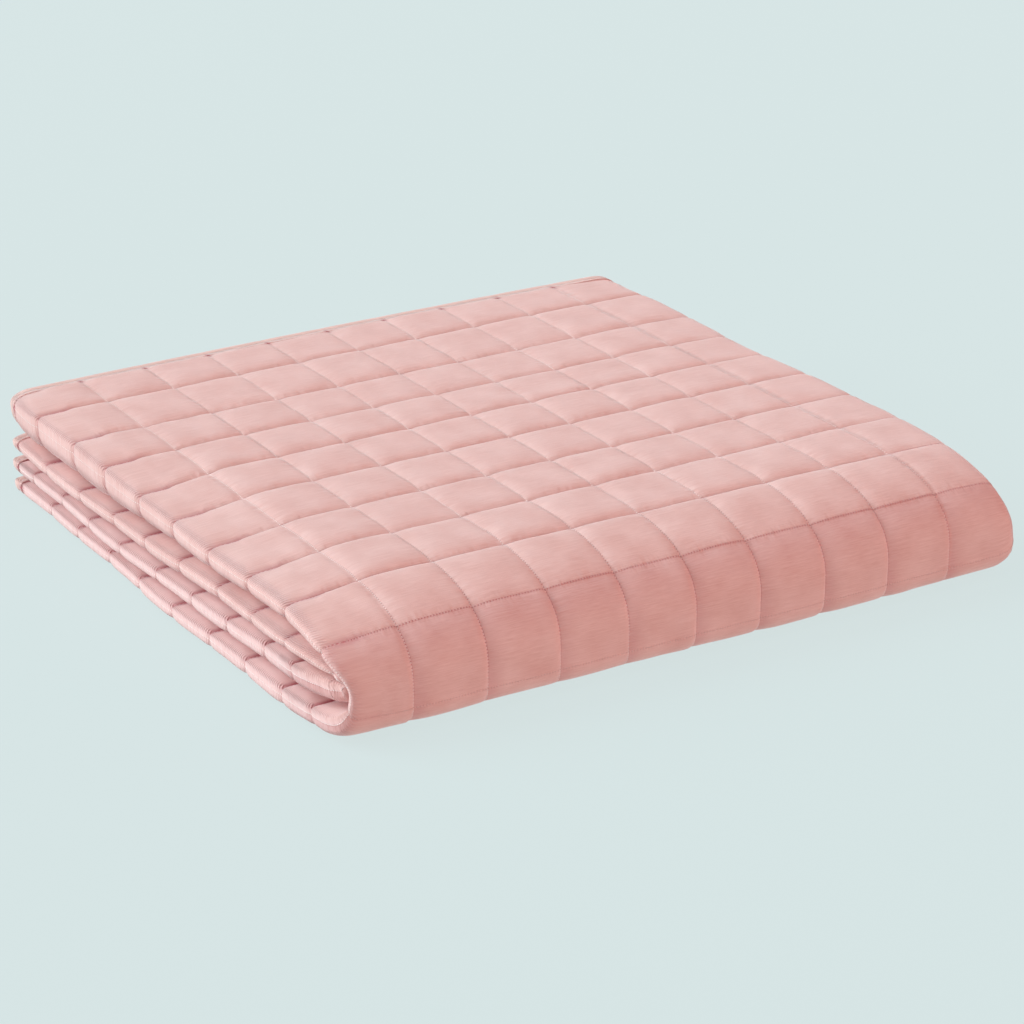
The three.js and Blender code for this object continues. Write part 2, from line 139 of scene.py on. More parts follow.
@dataclass(frozen=True)
class LeftCreases:
    """Section of the creases on the left of the stack, in squares.

    A crease is two quarters of superellipses, which meet at its outermost line, the crest. The
    power of the quarter that looks up falls towards the front in the upper half of the stack.
    """

    half: float = 0.3
    reach: float = 0.3
    crest_share: float = 0.27
    down_power: float = 2.4
    floor_power: float = 2.6
    up_power: float = 4.5
    up_power_front: float = 2.0
    sharp_y: float = 2.5
    round_y: float = -2.5
    lean: float = 0.1
    lean_y: tuple[float, float] = (-3.0, 3.0)
    lower_lean: float = 0.05
    inner_lean: float = 0.04
    inner_pinch: float = 0.26
    inner_pinch_row: float = 10.1
    inner_pinch_rows: float = 0.9
    crumple: float = 0.03
    crumple_rows: float = 0.6
    crumple_rate: float = 13.0
    end_draw: float = 0.1
    end_from: float = 4.2
    end_to: float = 5.3
    droop: float = 0.1
    droop_y: tuple[float, float] = (0.8, 2.4)
    droop_columns: tuple[float, float] = (0.3, 1.3)
    pinch: float = 0.2
    pinch_row: float = 10.25
    pinch_rows: float = 0.45


@dataclass(frozen=True)
class WideFold:
    """Section of the fold on the right of the stack: half a superellipse across all four layers."""

    first: float = 9.65
    last: float = 10.75
    reach: float = 0.4
    power: float = 2.6
    bulge: float = 0.18
    bulge_row: float = 9.7
    bulge_rows: float = 0.95
    upper_stand: float = 0.18
    upper_from: float = 11.2
    upper_to: float = 13.5


@dataclass(frozen=True)
class Quilt:
    """The coverlet's own sizes: lengths in metres, and the rest in squares or rows."""

    square: float = 0.062
    rows: int = 20
    layer_columns: int = 10
    seam_thickness: float = 0.0031
    puff: float = 0.0042
    layer_gap: float = 0.0014
    piece_gap: float = 0.00035
    edge_margin: float = 0.07
    edge_thickening: float = 0.0016
    binding_width: float = 0.18
    binding_thickness: float = 0.0066
    stitches_per_square: int = 25

    @property
    def second_crease(self) -> int:
        """Column of the second left crease."""
        return 2 * self.layer_columns

    @property
    def first_column(self) -> float:
        """Column of the cloth's outer long side."""
        return 1 - self.layer_columns - self.edge_margin

    @property
    def last_column(self) -> float:
        """Column of the cloth's inner long side."""
        return self.second_crease + self.layer_columns - 1 + self.edge_margin

    @property
    def flat_size(self) -> tuple[float, float]:
        """Sizes of the flat coverlet with its binding.

        Returns:
            Width and length in metres.
        """
        rim = 2 * (self.edge_margin + self.binding_width)
        width = (self.rows + rim) * self.square
        length = (self.last_column - self.first_column - 2 * self.edge_margin + rim) * self.square
        return width, length


@dataclass(frozen=True)
class Stack:
    """How the coverlet is folded. Places across and along the stack are in squares."""

    height: float = 1.5
    floor_sink: float = 0.0028
    row_depths: tuple[float, ...] = (
        1.00, 0.95, 1.00, 0.97, 1.03, 1.00, 0.95, 1.03, 0.72,
        0.82, 1.05, 0.98,
        1.01, 1.00, 1.015, 0.97, 0.945, 0.99, 1.18, 0.89,
    )
    column_seams: tuple[float, ...] = (-4.02, -3.0, -1.98, -0.99, 0.01, 0.99, 2.0, 3.01, 4.02)
    left_edge: float = -5.12
    right_edge: float = 5.1
    surface_bulge: float = 0.07
    back_seam: float = 5.0
    back_bow: float = 0.08
    back_bow_y: tuple[float, float] = (3.9, 5.2)
    back_bow_x: float = 5.1
    back_skew: float = 0.015
    back_from: float = 2.0
    upper_half_back: float = 0.93
    upper_half_front: float = 0.73
    upper_half_y: tuple[float, float] = (-3.7, 0.6)
    outer_pair_lower: float = 0.45
    outer_pair_upper: float = 0.565
    outer_pair_back: float = 0.63
    outer_pair_y: tuple[float, float] = (-0.2, 2.4)
    turn_squeeze: float = 0.35
    creases: LeftCreases = LeftCreases()
    wide: WideFold = WideFold()
    slide_from: float = 11.5
    slide_to: float = 18.5
    slide_lower: float = 0.5
    slide_upper: float = 0.15
    turn_from: float = 9.0
    turn_to: float = 12.0
    turn: FrontTurn = FrontTurn()
    set_back: SetBack = SetBack()
    wander_sizes: tuple[float, float] = (0.0016, 0.0010)
    wander_rates: tuple[float, float] = (0.83, 2.07)
    wander_outer: float = 0.4
    wander_inner: float = 2.2
    wander_wide: float = 4.1
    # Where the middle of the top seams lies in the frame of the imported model.
    top_centre: tuple[float, float, float] = (-0.005278, -0.026722, 0.0958)


@dataclass(frozen=True)
class Layers:
    """Depths of the middles of the four layers under the outer seams, and the room between them."""

    depths: tuple[Array, Array, Array, Array]
    outer_pair: Array
    half: Array
    outer_puff: Array
    inner_puff: Array


class Folding:
    """Takes points of the flat cloth to their places in the stack."""

    def __init__(self, quilt: Quilt, stack: Stack) -> None:
        """Works out the path of the outer seams and how far along it each row seam lies.

        Args:
            quilt: the coverlet's own sizes.
            stack: how it is folded.
        """
        self.quilt = quilt
        self.stack = stack
        self.path_y, self.path_z = self._outer_path()
        steps = np.hypot(np.diff(self.path_y), np.diff(self.path_z))
        self.path_along = np.concatenate([[0.0], np.cumsum(steps)])
        depths = np.array(stack.row_depths)
        row_ends = np.concatenate([[0.0], np.cumsum(depths)])
        self.row_along = row_ends * self.path_along[-1] / depths.sum()
        self.row_keys = np.arange(len(depths) + 1, dtype=float)

    def _outer_path(self) -> tuple[Array, Array]:
        """The line that the outer seams follow, from the lower back end round to the upper one.

        Returns:
            Its y and z. With a the angle, the turn is y = start - reach * sin(a)^(2 / power) and
            its height over or under the foremost point is proportional to cos(a)^(2 / power).
        """
        square, turn = self.quilt.square, self.stack.turn
        height, foremost = self.stack.height * square, -turn.upper_height * square
        angle = np.linspace(0.0, math.pi / 2, turn.quarter_steps + 1)
        upright, forward = superellipse(angle, turn.lower_power)
        lower_y = turn.start - turn.reach * forward
        lower_z = foremost - (height + foremost) * upright
        upright, forward = superellipse(angle[-2::-1], turn.upper_power)
        upper_y = turn.start - turn.reach * forward
        upper_z = foremost * (1.0 - upright)
        back = self.stack.back_seam
        y = np.concatenate([[back], lower_y, upper_y, [back]]) * square
        z = np.concatenate([[-height], lower_z, upper_z, [0.0]])
        return y, z

    def outer_at(self, row: Array) -> tuple[Array, Array, Array, Array]:
        """Point of the outer seams at each row, with the direction out of the stack.

        Args:
            row: rows.

        Returns:
            y, z, and the y and z of the outward direction, at right angles to a short chord.
        """
        along = between(self.row_keys, self.row_along, row)
        y = between(self.path_along, self.path_y, along)
        z = between(self.path_along, self.path_z, along)
        span = self.stack.turn.chord * self.quilt.square
        ahead, behind = along + span, along - span
        dy, dz = (
            between(self.path_along, path, ahead) - between(self.path_along, path, behind)
            for path in (self.path_y, self.path_z)
        )
        length = np.hypot(dy, dz)
        return y, z, -dz / length, dy / length

    def upper_height(self, y: Array) -> Array:
        """Height of the upper half of the stack, which grows evenly from the turn to the back.

        Args:
            y: places of the outer seams.

        Returns:
            The height of the upper half at each place.
        """
        square, stack = self.quilt.square, self.stack
        first, last = stack.upper_half_y
        share = np.clip((y / square - first) / (last - first), 0.0, 1.0)
        return mix(stack.upper_half_front, stack.upper_half_back, share) * square

    def upper_share(self, row: Array) -> Array:
        """0 in the lower half of the stack and 1 in its upper half, blended round the turn."""
        return smoothstep(row, self.stack.turn_from, self.stack.turn_to)

    def layers(self, row: Array, y: Array) -> Layers:
        """Depths of the four layers.

        The outer two layers share one slot and the inner two another one. In its slot, a layer has
        the room that is left by the seams and the gaps, up to the full puff.

        Args:
            row: rows of the path.
            y: places of the outer seams at those rows.

        Returns:
            The depths.
        """
        quilt, stack = self.quilt, self.stack
        seam, gap, upper = quilt.seam_thickness, quilt.layer_gap, self.upper_height(y)
        share = self.upper_share(row)
        half = mix(stack.height * quilt.square - upper, upper, share)
        behind = smoothstep(y / quilt.square, *stack.outer_pair_y)
        outer_upper = mix(stack.outer_pair_upper, stack.outer_pair_back, behind)
        outer = mix(stack.outer_pair_lower, outer_upper, share) * half
        outer_puff = np.minimum(quilt.puff, (outer - 3 * gap / 2 - 2 * seam) / 3)
        inner_puff = np.minimum(quilt.puff, (half - outer - 2 * gap - 2 * seam) / 4)
        margin = gap / 2 + seam / 2
        depths = (
            np.full_like(outer, seam / 2),
            outer - margin - outer_puff,
            outer + margin + inner_puff,
            half - margin - inner_puff,
        )
        return Layers(depths, outer, half, outer_puff, inner_puff)

    def slid(self, column: Array, row: Array) -> Array:
        """Row of the path at which a point lies. The inner layers lag behind the outer ones.

        Args:
            column: columns.
            row: rows.

        Returns:
            Rows less a share of a row, which grows towards the inner layers.
        """
        stack = self.stack
        inner = smoothstep(column, stack.slide_from, stack.slide_to)
        size = mix(stack.slide_lower, stack.slide_upper, self.upper_share(row))
        ends = np.clip(np.minimum(row, self.quilt.rows - row), 0.0, 1.0)
        return row - inner * size * ends

    def _wander(self, row: Array, phase: float) -> Array:
        """Unevenness of a folded side along the rows, as the sum of two sine waves."""
        sizes, rates = self.stack.wander_sizes, self.stack.wander_rates
        return sizes[0] * np.sin(rates[0] * row + phase) + sizes[1] * np.sin(rates[1] * row + 2 * phase)

    def _across(self, column: Array, crease_x: Array, end_column: float, end_x: Array) -> Array:
        """Place across the stack, from crease_x by way of the named seams to end_x.

        Args:
            column: columns from the left crease of the layer.
            crease_x: place of the end of that crease.
            end_column: last column of the layer.
            end_x: place of that column.

        Returns:
            x of each column, by a linear look-up.
        """
        seams = np.array(self.stack.column_seams) * self.quilt.square
        count = len(seams)
        keys = np.concatenate([[self.stack.creases.half], np.arange(1.0, count + 1), [end_column]])
        upper = np.clip(np.searchsorted(keys, column), 1, count + 1)
        share = (column - keys[upper - 1]) / (keys[upper] - keys[upper - 1])
        low = np.where(upper == 1, crease_x, seams[np.clip(upper - 2, 0, count - 1)])
        high = np.where(upper == count + 1, end_x, seams[np.clip(upper - 1, 0, count - 1)])
        return mix(low, high, share)

    def _crease(self, offset: Array, lift: Array, row: Array, y: Array, shallow: Array,
                deep: Array, lowest_power: float) -> tuple[Array, Array]:
        """Section of a left crease.

        With a the angle from the crest, x is -(reach + lift) * cos(a)^(2 / power) and the depth is
        as far from the crest's as (size + lift) * sin(a)^(2 / power), size being the distance from
        the crest's depth to the layer's.

        Args:
            offset: columns from the crest, above 0 towards the shallow layer.
            lift: how far the points stand out from the middle of the cloth.
            row: rows of the path.
            y: places of the outer seams.
            shallow: depth of the shallow layer.
            deep: depth of the deep layer.
            lowest_power: power of the quarter that looks down in the lower half of the stack.

        Returns:
            x from the start of the crease, and the depth.
        """
        creases, square = self.stack.creases, self.quilt.square
        upper = self.upper_share(row)
        sharp = smoothstep(y / square, creases.round_y, creases.sharp_y)
        sharp = sharp * (1.0 - smoothstep(y / square, creases.end_from, creases.end_to))
        up = mix(creases.up_power, mix(creases.up_power_front, creases.up_power, sharp), upper)
        looks_up = np.where(offset > 0, upper, 1.0 - upper)
        power = mix(mix(lowest_power, creases.down_power, upper), up, looks_up)
        crest = mix(1.0 - creases.crest_share, creases.crest_share, upper)
        middle = mix(shallow, deep, crest)
        angle = np.clip(offset / creases.half, -1.0, 1.0) * (math.pi / 2)
        across, along = superellipse(angle, power)
        size = np.where(offset > 0, middle - shallow, deep - middle)
        x = -(creases.reach * square + lift) * across
        return x, middle - np.sign(offset) * (size + lift) * along

    def _wide(self, column: Array, lift: Array, layers: Layers) -> tuple[Array, Array]:
        """Section of the wide fold: half a superellipse from the first layer to the last.

        Args:
            column: columns.
            lift: how far the points stand out from the middle of the cloth.
            layers: the layers' depths.

        Returns:
            x from the start of the fold, and the depth.
        """
        wide = self.stack.wide
        angle = (np.clip((column - wide.first) / (wide.last - wide.first), 0.0, 1.0) - 0.5) * math.pi
        across, along = superellipse(angle, wide.power)
        first, last = layers.depths[0], layers.depths[3]
        x = (wide.reach * self.quilt.square + lift) * across
        depth = (first + last) / 2 + np.sign(angle) * ((last - first) / 2 + lift) * along
        return x, depth

    def _section(self, column: Array, row: Array, y: Array, lift: Array,
                 layers: Layers) -> tuple[Array, Array]:
        """Points in the section across the stack.

        The layers are straight lines at their own depths, joined by two creases on the left and
        one wide fold on the right.

        Args:
            column: columns.
            row: rows of the path.
            y: places of the outer seams.
            lift: how far the points stand from the middle of the cloth towards its face.
            layers: the layers' depths.

        Returns:
            x, and the depth under the outer seams.
        """
        quilt, stack, square = self.quilt, self.stack, self.quilt.square
        creases, wide = stack.creases, stack.wide
        left = (stack.left_edge + stack.surface_bulge + creases.reach) * square
        upper = self.upper_share(row)
        lean = creases.lean * (1.0 - smoothstep(y / square, *creases.lean_y))
        lean = mix(creases.lower_lean, lean, upper)
        end_draw = creases.end_draw * upper * smoothstep(y / square, creases.end_from, creases.end_to)
        pinch = creases.pinch * bell(row, creases.pinch_row, creases.pinch_rows)
        outer_x = left + self._wander(row, stack.wander_outer) + (lean + end_draw + pinch) * square
        hollow = creases.inner_pinch_row
        crumple = creases.crumple * bell(row, hollow, creases.crumple_rows)
        crumple = crumple * np.sin(creases.crumple_rate * row)
        inner_pinch = creases.inner_pinch * bell(row, hollow, creases.inner_pinch_rows)
        inner_in = creases.inner_lean + inner_pinch + crumple
        inner_x = left + self._wander(row, stack.wander_inner) + inner_in * square
        bulge = wide.bulge * bell(row, wide.bulge_row, wide.bulge_rows)
        bulge = bulge + wide.upper_stand * smoothstep(row, wide.upper_from, wide.upper_to)
        wide_x = (stack.right_edge - stack.surface_bulge - wide.reach + bulge) * square
        wide_x = wide_x + self._wander(row, stack.wander_wide)
        free_x = (stack.column_seams[-1] + 1) * square
        second, half, layer = quilt.second_crease, creases.half, quilt.layer_columns
        first_depth, second_depth, third_depth, fourth_depth = layers.depths
        droop = creases.droop * square * upper * (1.0 - smoothstep(y / square, *creases.droop_y))
        drooped = first_depth + droop * (1.0 - smoothstep(np.abs(column), *creases.droop_columns))
        outer_crease = self._crease(column, lift, row, y, drooped, second_depth, creases.floor_power)
        inner_crease = self._crease(
            column - second, lift, row, y, third_depth, fourth_depth, creases.down_power
        )
        wide_fold = self._wide(column, lift, layers)
        straight = (column - wide.last) / (second - half - wide.last)
        regions = [
            column <= -half,
            column < half,
            column <= wide.first,
            column < wide.last,
            column <= second - half,
            column < second + half,
        ]
        x = np.select(
            regions,
            [
                self._across(-column, outer_x, layer, free_x),
                outer_x + outer_crease[0],
                self._across(column, outer_x, wide.first, wide_x),
                wide_x + wide_fold[0],
                mix(wide_x, inner_x, straight),
                inner_x + inner_crease[0],
            ],
            self._across(column - second, inner_x, layer, free_x),
        )
        depth = np.select(
            regions,
            [
                second_depth + lift,
                outer_crease[1],
                drooped - lift,
                wide_fold[1],
                fourth_depth + lift,
                inner_crease[1],
            ],
            third_depth - lift,
        )
        return x, depth

    def _wrap(self, x: Array, depth: Array, row: Array, layers: Layers) -> Array:
        """Places points at a depth under the outer seams.

        Above the outer seams a point stands out along the outward direction. Under them the outer
        line is drawn in towards the plane in which the stack is bent in half: its height by the
        share of the depth, and its reach round the turn by the depth itself.

        Args:
            x: places across the stack.
            depth: depths, less than 0 above the outer seams.
            row: rows of the path.
            layers: the layers' depths.

        Returns:
            Points, with x, y and z last.
        """
        square, stack = self.quilt.square, self.stack
        y, z, out_y, out_z = self.outer_at(row)
        middle = -self.upper_height(y)
        back, turn, gap = stack.set_back, stack.turn, self.quilt.layer_gap / 2
        aside = 1.0 - smoothstep(x / square, back.full_x, back.end_x)
        past = np.clip((depth - layers.outer_pair + gap) / (2 * gap), 0.0, 1.0)
        start, reach = turn.start * square, turn.reach * square
        inward = stack.turn_squeeze * depth + back.size * square * aside * past
        drawn = start + (y - start) * (reach - inward) / reach
        inside_y = np.where(y < start, drawn, y)
        inside_z = middle + (1.0 - depth / layers.half) * (z - middle)
        above = depth < 0
        placed_y = np.where(above, y - out_y * depth, inside_y)
        placed_z = np.where(above, z - out_z * depth, inside_z)
        placed_z = np.maximum(placed_z, -stack.height * square - stack.floor_sink)
        skewed = 1.0 - smoothstep(placed_y / square, turn.skew_to, turn.skew_from)
        placed_y = placed_y - turn.skew * x * skewed
        bowed = smoothstep(y / square, *stack.back_bow_y) * self.upper_share(row)
        bowed = bowed * (1.0 - (x / (stack.back_bow_x * square)) ** 2)
        at_back = smoothstep(y / square, stack.back_from, stack.back_seam)
        placed_y = placed_y + stack.back_bow * square * bowed + stack.back_skew * x * at_back
        return np.stack([x, placed_y, placed_z], axis=-1) + np.array(stack.top_centre)

    def place(self, column: Array, row: Array, lift: Array) -> Array:
        """Places points of the cloth in the stack.

        Args:
            column: columns.
            row: rows, of the same shape.
            lift: how far each point stands from the middle of the cloth towards its face.

        Returns:
            Points, with x, y and z last.
        """
        column, row, lift = np.broadcast_arrays(column, row, lift)
        path_row = self.slid(column, row)
        y = self.outer_at(path_row)[0]
        layers = self.layers(path_row, y)
        x, depth = self._section(column, path_row, y, lift, layers)
        return self._wrap(x, depth, path_row, layers)


class ValueNoise:
    """Smooth random heights over the cloth, from a lattice of seeded numbers."""

    def __init__(self, seed: int, columns: float, rows: float, cells: float) -> None:
        """Draws the lattice.

        Args:
            seed: seed of the draw.
            columns: how many columns the cloth has.
            rows: how many rows it has.
            cells: lattice cells to a square.
        """
        self.cells = cells
        shape = (int(columns * cells) + 4, int(rows * cells) + 4)
        self.lattice = np.random.default_rng(seed).uniform(-1.0, 1.0, shape)

    def at(self, column: Array, row: Array) -> Array:
        """Heights from -1 to 1: lattice values mixed along both ways by 3 s^2 - 2 s^3.

        Args:
            column: columns from the cloth's first one.
            row: rows from the cloth's first one.

        Returns:
            The height at each place.
        """
        u, v = column * self.cells + 1, row * self.cells + 1
        i = np.clip(np.floor(u).astype(int), 0, self.lattice.shape[0] - 2)
        j = np.clip(np.floor(v).astype(int), 0, self.lattice.shape[1] - 2)
        su, sv = smoothstep(u - i, 0.0, 1.0), smoothstep(v - j, 0.0, 1.0)
        low = mix(self.lattice[i, j], self.lattice[i + 1, j], su)
        high = mix(self.lattice[i, j + 1], self.lattice[i + 1, j + 1], su)
        return mix(low, high, sv)


@dataclass(frozen=True)
class Padding:
    """How the squares are raised between the seams.

    The crown of a square is (1 - |2 f - 1|^flatness)^steepness of the share f of the way across it,
    with a flatness for each half of the square. On the front the squares lap: they rise slowly
    beyond one long seam and fall steeply to the next one. Where a seam is held flat in part, the
    cloth stays up on it. Pairs and fours of numbers are columns, rows or distances from a crease,
    between which a share rises or falls.
    """

    steepness: float = 0.8
    across: tuple[float, float] = (6.0, 6.0)
    across_front: tuple[float, float] = (2.6, 14.0)
    front_dip: float = 1.0
    along: tuple[float, float] = (6.0, 9.0)
    along_crest: float = 8.0
    along_flank: float = 2.2
    crest: tuple[float, float] = (0.08, 0.26)
    flank: tuple[float, float] = (0.32, 0.5)
    top_dip: float = 0.55
    front_rows: tuple[float, float, float, float] = (7.6, 9.0, 10.9, 11.3)
    held_low: float = 0.85
    held_low_row: float = 10.0
    held_under: float = 0.1
    held_over: float = 0.8
    held_edge_row: float = 11.0
    held_edge: tuple[float, float] = (10.93, 11.02)
    held_columns: tuple[float, float] = (0.2, 0.8)
    held_end: float = 0.25
    held_reach: float = 0.5
    crest_dip: float = 0.5
    pressed_columns: tuple[float, float] = (9.5, 10.9)
    shown_columns: tuple[float, float, float] = (-0.1, 0.3, 10.3)
    crease_pull: float = 0.3
    crease_columns: tuple[float, float] = (0.15, 0.42)
    wide_pull: float = 0.7
    wide_columns: tuple[float, float] = (8.9, 9.9)
    taut_puff: float = 0.7
    foot_tuck: float = 0.6
    foot_row: float = 9.7
    foot_rows: float = 0.6
    taut_rows: tuple[float, float, float, float] = (7.4, 8.4, 10.2, 11.4)
    fullness_spread: float = 0.1
    fullness_squares: tuple[int, int] = (40, 22)
    uneven_inside: float = 0.25
    wrinkle_height: float = 0.0005
    wrinkle_cells: float = 3.0
    swell_height: float = 0.0008
    swell_cells: float = 0.9
    seed: int = 11


class QuiltedSurface:
    """The two surfaces of the padded cloth, as heights over its middle."""

    def __init__(self, folding: Folding, padding: Padding) -> None:
        """Draws the unevenness of the squares.

        Args:
            folding: the map from flat cloth to stack.
            padding: how the squares are raised.
        """
        self.folding = folding
        self.padding = padding
        quilt = folding.quilt
        columns = quilt.last_column - quilt.first_column
        size = (columns, quilt.rows)
        self.wrinkles = ValueNoise(padding.seed, *size, padding.wrinkle_cells)
        self.swell = ValueNoise(padding.seed + 1, *size, padding.swell_cells)
        draws = np.random.default_rng(padding.seed + 2)
        self.fullness = 1 + padding.fullness_spread * draws.uniform(-1, 1, padding.fullness_squares)

    def crown(self, place: Array, before: Array, after: Array) -> Array:
        """Height of the crown across a square: 0 on the seams and 1 in its middle.

        Args:
            place: columns or rows.
            before: flatness of the first half of a square.
            after: flatness of its second half.

        Returns:
            The height.
        """
        across = 2 * (place - np.floor(place)) - 1
        flatness = np.where(across < 0, before, after)
        return (1 - np.abs(across) ** flatness) ** self.padding.steepness

    def _drawn_in(self, column: Array, row: Array, from_crease: Array) -> Array:
        """Height of a square's crown at a place, 1 where the cloth is full.

        The long seams are drawn in only in part on the top, and some cross seams hardly at all.
        Beside a crease the cross seams open towards the hollow between two layers.

        Args:
            column: columns.
            row: rows.
            from_crease: distance from the nearest crease, in columns.

        Returns:
            The height, as the product of the crowns both ways.
        """
        padding = self.padding
        front = plateau(row, *padding.front_rows)
        before, after = (mix(a, b, front) for a, b in zip(padding.across, padding.across_front))
        dip = mix(padding.top_dip, padding.front_dip, front)
        off_crest = smoothstep(from_crease, *padding.crest)
        dip = dip * mix(padding.crest_dip, 1.0, off_crest)
        across = 1 - dip * (1 - self.crown(column, before, after))
        flank = off_crest * (1 - smoothstep(from_crease, *padding.flank))
        crest = 1 - off_crest
        before, after = (
            mix(mix(flatness, padding.along_flank, flank), padding.along_crest, crest)
            for flatness in padding.along
        )
        low = padding.held_low * bell(row, padding.held_low_row, padding.held_reach)
        edge = mix(padding.held_under, padding.held_over, smoothstep(row, *padding.held_edge))
        held = low + edge * bell(row, padding.held_edge_row, padding.held_reach)
        held = held * smoothstep(column, *padding.held_columns)
        to_end = np.minimum(row, self.folding.quilt.rows - row)
        held = held + padding.held_end * bell(to_end, 0.0, padding.held_reach)
        return across * (1 - (1 - held) * (1 - self.crown(row, before, after)))

    def half(self, column: Array, row: Array, side: int) -> Array:
        """Distance from the middle of the cloth to one of its surfaces.

        It is half the seam's thickness, and over it the puff times the crowns across the square
        both ways. Beside a crease the puff is what the room between two layers leaves, and the seam
        along the crease is drawn in only in part.

        Args:
            column: columns.
            row: rows.
            side: 1 for the face and -1 for the back.

        Returns:
            Distances in metres, never less than 0.
        """
        quilt, stack, padding = self.folding.quilt, self.folding.stack, self.padding
        seam = quilt.seam_thickness / 2
        path_row = self.folding.slid(column, row)
        layers = self.folding.layers(path_row, self.folding.outer_at(path_row)[0])
        pressed = mix(layers.outer_puff, layers.inner_puff, smoothstep(column, *padding.pressed_columns))
        outer = plateau(column, *padding.shown_columns, stack.wide.last)
        outer = outer if side > 0 else np.zeros_like(outer)
        from_first = column - quilt.first_column
        across, along = padding.fullness_squares
        i = np.clip(np.floor(column).astype(int) - math.floor(quilt.first_column), 0, across - 1)
        j = np.clip(np.floor(row).astype(int) + 1, 0, along - 1)
        taut = mix(1.0, padding.taut_puff, plateau(row, *padding.taut_rows))
        tucked = 1.0 - padding.foot_tuck * bell(row, padding.foot_row, padding.foot_rows)
        puff = mix(pressed, quilt.puff * self.fullness[i, j] * taut * tucked, outer)
        from_crease = np.minimum(np.abs(column), np.abs(column - quilt.second_crease))
        at_crease = 1 - smoothstep(from_crease, *padding.crease_columns)
        if side > 0:
            puff = puff * (1 - padding.crease_pull * at_crease)
            puff = puff * (1 - padding.wide_pull * smoothstep(column, *padding.wide_columns) * outer)
        body = self._drawn_in(column, row, from_crease)
        uneven = padding.wrinkle_height * self.wrinkles.at(from_first, row)
        uneven = uneven + padding.swell_height * self.swell.at(from_first, row)
        margin = (row <= 0) | (row >= quilt.rows)
        half = seam + puff * body + uneven * body * mix(padding.uneven_inside, 1.0, outer)
        return np.where(margin, seam + quilt.edge_thickening, half)

    def face(self, column: Array, row: Array, proud: float = 0.0) -> Array:
        """Points of the face of the folded cloth, proud of it by a small height."""
        return self.folding.place(column, row, self.half(column, row, 1) + proud)

    def back(self, column: Array, row: Array) -> Array:
        """Points of the back of the folded cloth."""
        return self.folding.place(column, row, -self.half(column, row, -1))


def spaced(stops: Sequence[float], counts: Sequence[int]) -> Array:
    """Numbers from stop to stop, with its own count of even steps between each two stops."""
    runs = [np.linspace(a, b, n, endpoint=False) for a, b, n in zip(stops, stops[1:], counts)]
    return np.concatenate([*runs, [stops[-1]]])


def seamed(first: int, last: int, count: int) -> Array:
    """Places from one whole number to another, close together beside the seams.

    Args:
        first: first seam.
        last: last seam.
        count: steps to a square.

    Returns:
        Places at f = (1 - cos(pi t)) / 2 across each square, t in even steps.
    """
    shares = (1 - np.cos(np.pi * np.arange(count) / count)) / 2
    places = np.arange(first, last)[:, None] + shares[None, :]
    return np.concatenate([places.ravel(), [last]])


def new_object(name: str, points: Array, faces: list[Array],
               cloth_map: Array | None = None) -> bpy.types.Object:
    """Makes a smooth mesh object at the origin.

    Args:
        name: the piece's name.
        points: its points, in metres.
        faces: arrays of faces, each with as many columns as its faces have corners.
        cloth_map: column and row of each point, for the UV map.

    Returns:
        The object, linked to the scene.
    """
    mesh = bpy.data.meshes.new(name)
    corners = np.concatenate([block.ravel() for block in faces])
    sizes = np.concatenate([np.full(len(block), block.shape[1]) for block in faces])
    starts = np.concatenate([[0], np.cumsum(sizes)[:-1]])
    mesh.vertices.add(len(points))
    mesh.vertices.foreach_set("co", points.astype(np.float32).ravel())
    mesh.loops.add(len(corners))
    mesh.loops.foreach_set("vertex_index", corners.astype(np.int32))
    mesh.polygons.add(len(sizes))
    mesh.polygons.foreach_set("loop_start", starts.astype(np.int32))
    mesh.polygons.foreach_set("loop_total", sizes.astype(np.int32))
    mesh.update(calc_edges=True)
    if cloth_map is not None:
        layer = mesh.uv_layers.new(name=CLOTH_MAP)
        layer.data.foreach_set("uv", cloth_map[corners].astype(np.float32).ravel())
    mesh.validate()
    mesh.shade_smooth()
    piece = bpy.data.objects.new(name, mesh)
    bpy.context.scene.collection.objects.link(piece)
    return piece


def closed_sheet(name: str, faces_at: SurfaceAt, backs_at: SurfaceAt, face_columns: Array,
                 back_columns: Array, rows: Array) -> bpy.types.Object:
    """Makes a closed mesh of a stretch of folded cloth.

    Each row is a ring: along the face in rising columns and along the back in falling ones. The
    rings are joined by quads, and both ends are closed by triangles between face and back, which
    step along whichever of the two has the nearer column next.

    Args:
        name: the piece's name.
        faces_at: gives points of the face from columns and rows.
        backs_at: gives points of the back.
        face_columns: rising columns of the face.
        back_columns: rising columns of the back.
        rows: rising rows.

    Returns:
        The object, with columns and rows as its UV map.
    """
    face = faces_at(face_columns[None, :], rows[:, None])
    back = backs_at(back_columns[None, ::-1], rows[:, None])
    points = np.concatenate([face, back], axis=1)
    columns = np.concatenate([face_columns, back_columns[::-1]])
    size = len(columns)
    at = np.arange(len(rows) * size).reshape(len(rows), size)
    along = np.roll(at, -1, axis=1)
    quads = np.stack([at[:-1], along[:-1], along[1:], at[1:]], axis=-1).reshape(-1, 4)
    face_step = np.arange(len(face_columns) - 1)
    back_step = np.arange(len(back_columns) - 1)
    back_done = np.searchsorted(back_columns[1:], face_columns[1:], side="left")
    face_done = np.searchsorted(face_columns[1:], back_columns[1:], side="right")
    cap = np.concatenate([
        np.stack([face_step, size - 1 - back_done, face_step + 1], axis=-1),
        np.stack([face_done, size - 1 - back_step, size - 2 - back_step], axis=-1),
    ])
    far_cap = cap[:, [1, 0, 2]] + at[-1, 0]
    grid = np.stack(np.broadcast_arrays(columns[None, :], rows[:, None]), axis=-1)
    return new_object(name, points.reshape(-1, 3), [quads, cap, far_cap], grid.reshape(-1, 2))


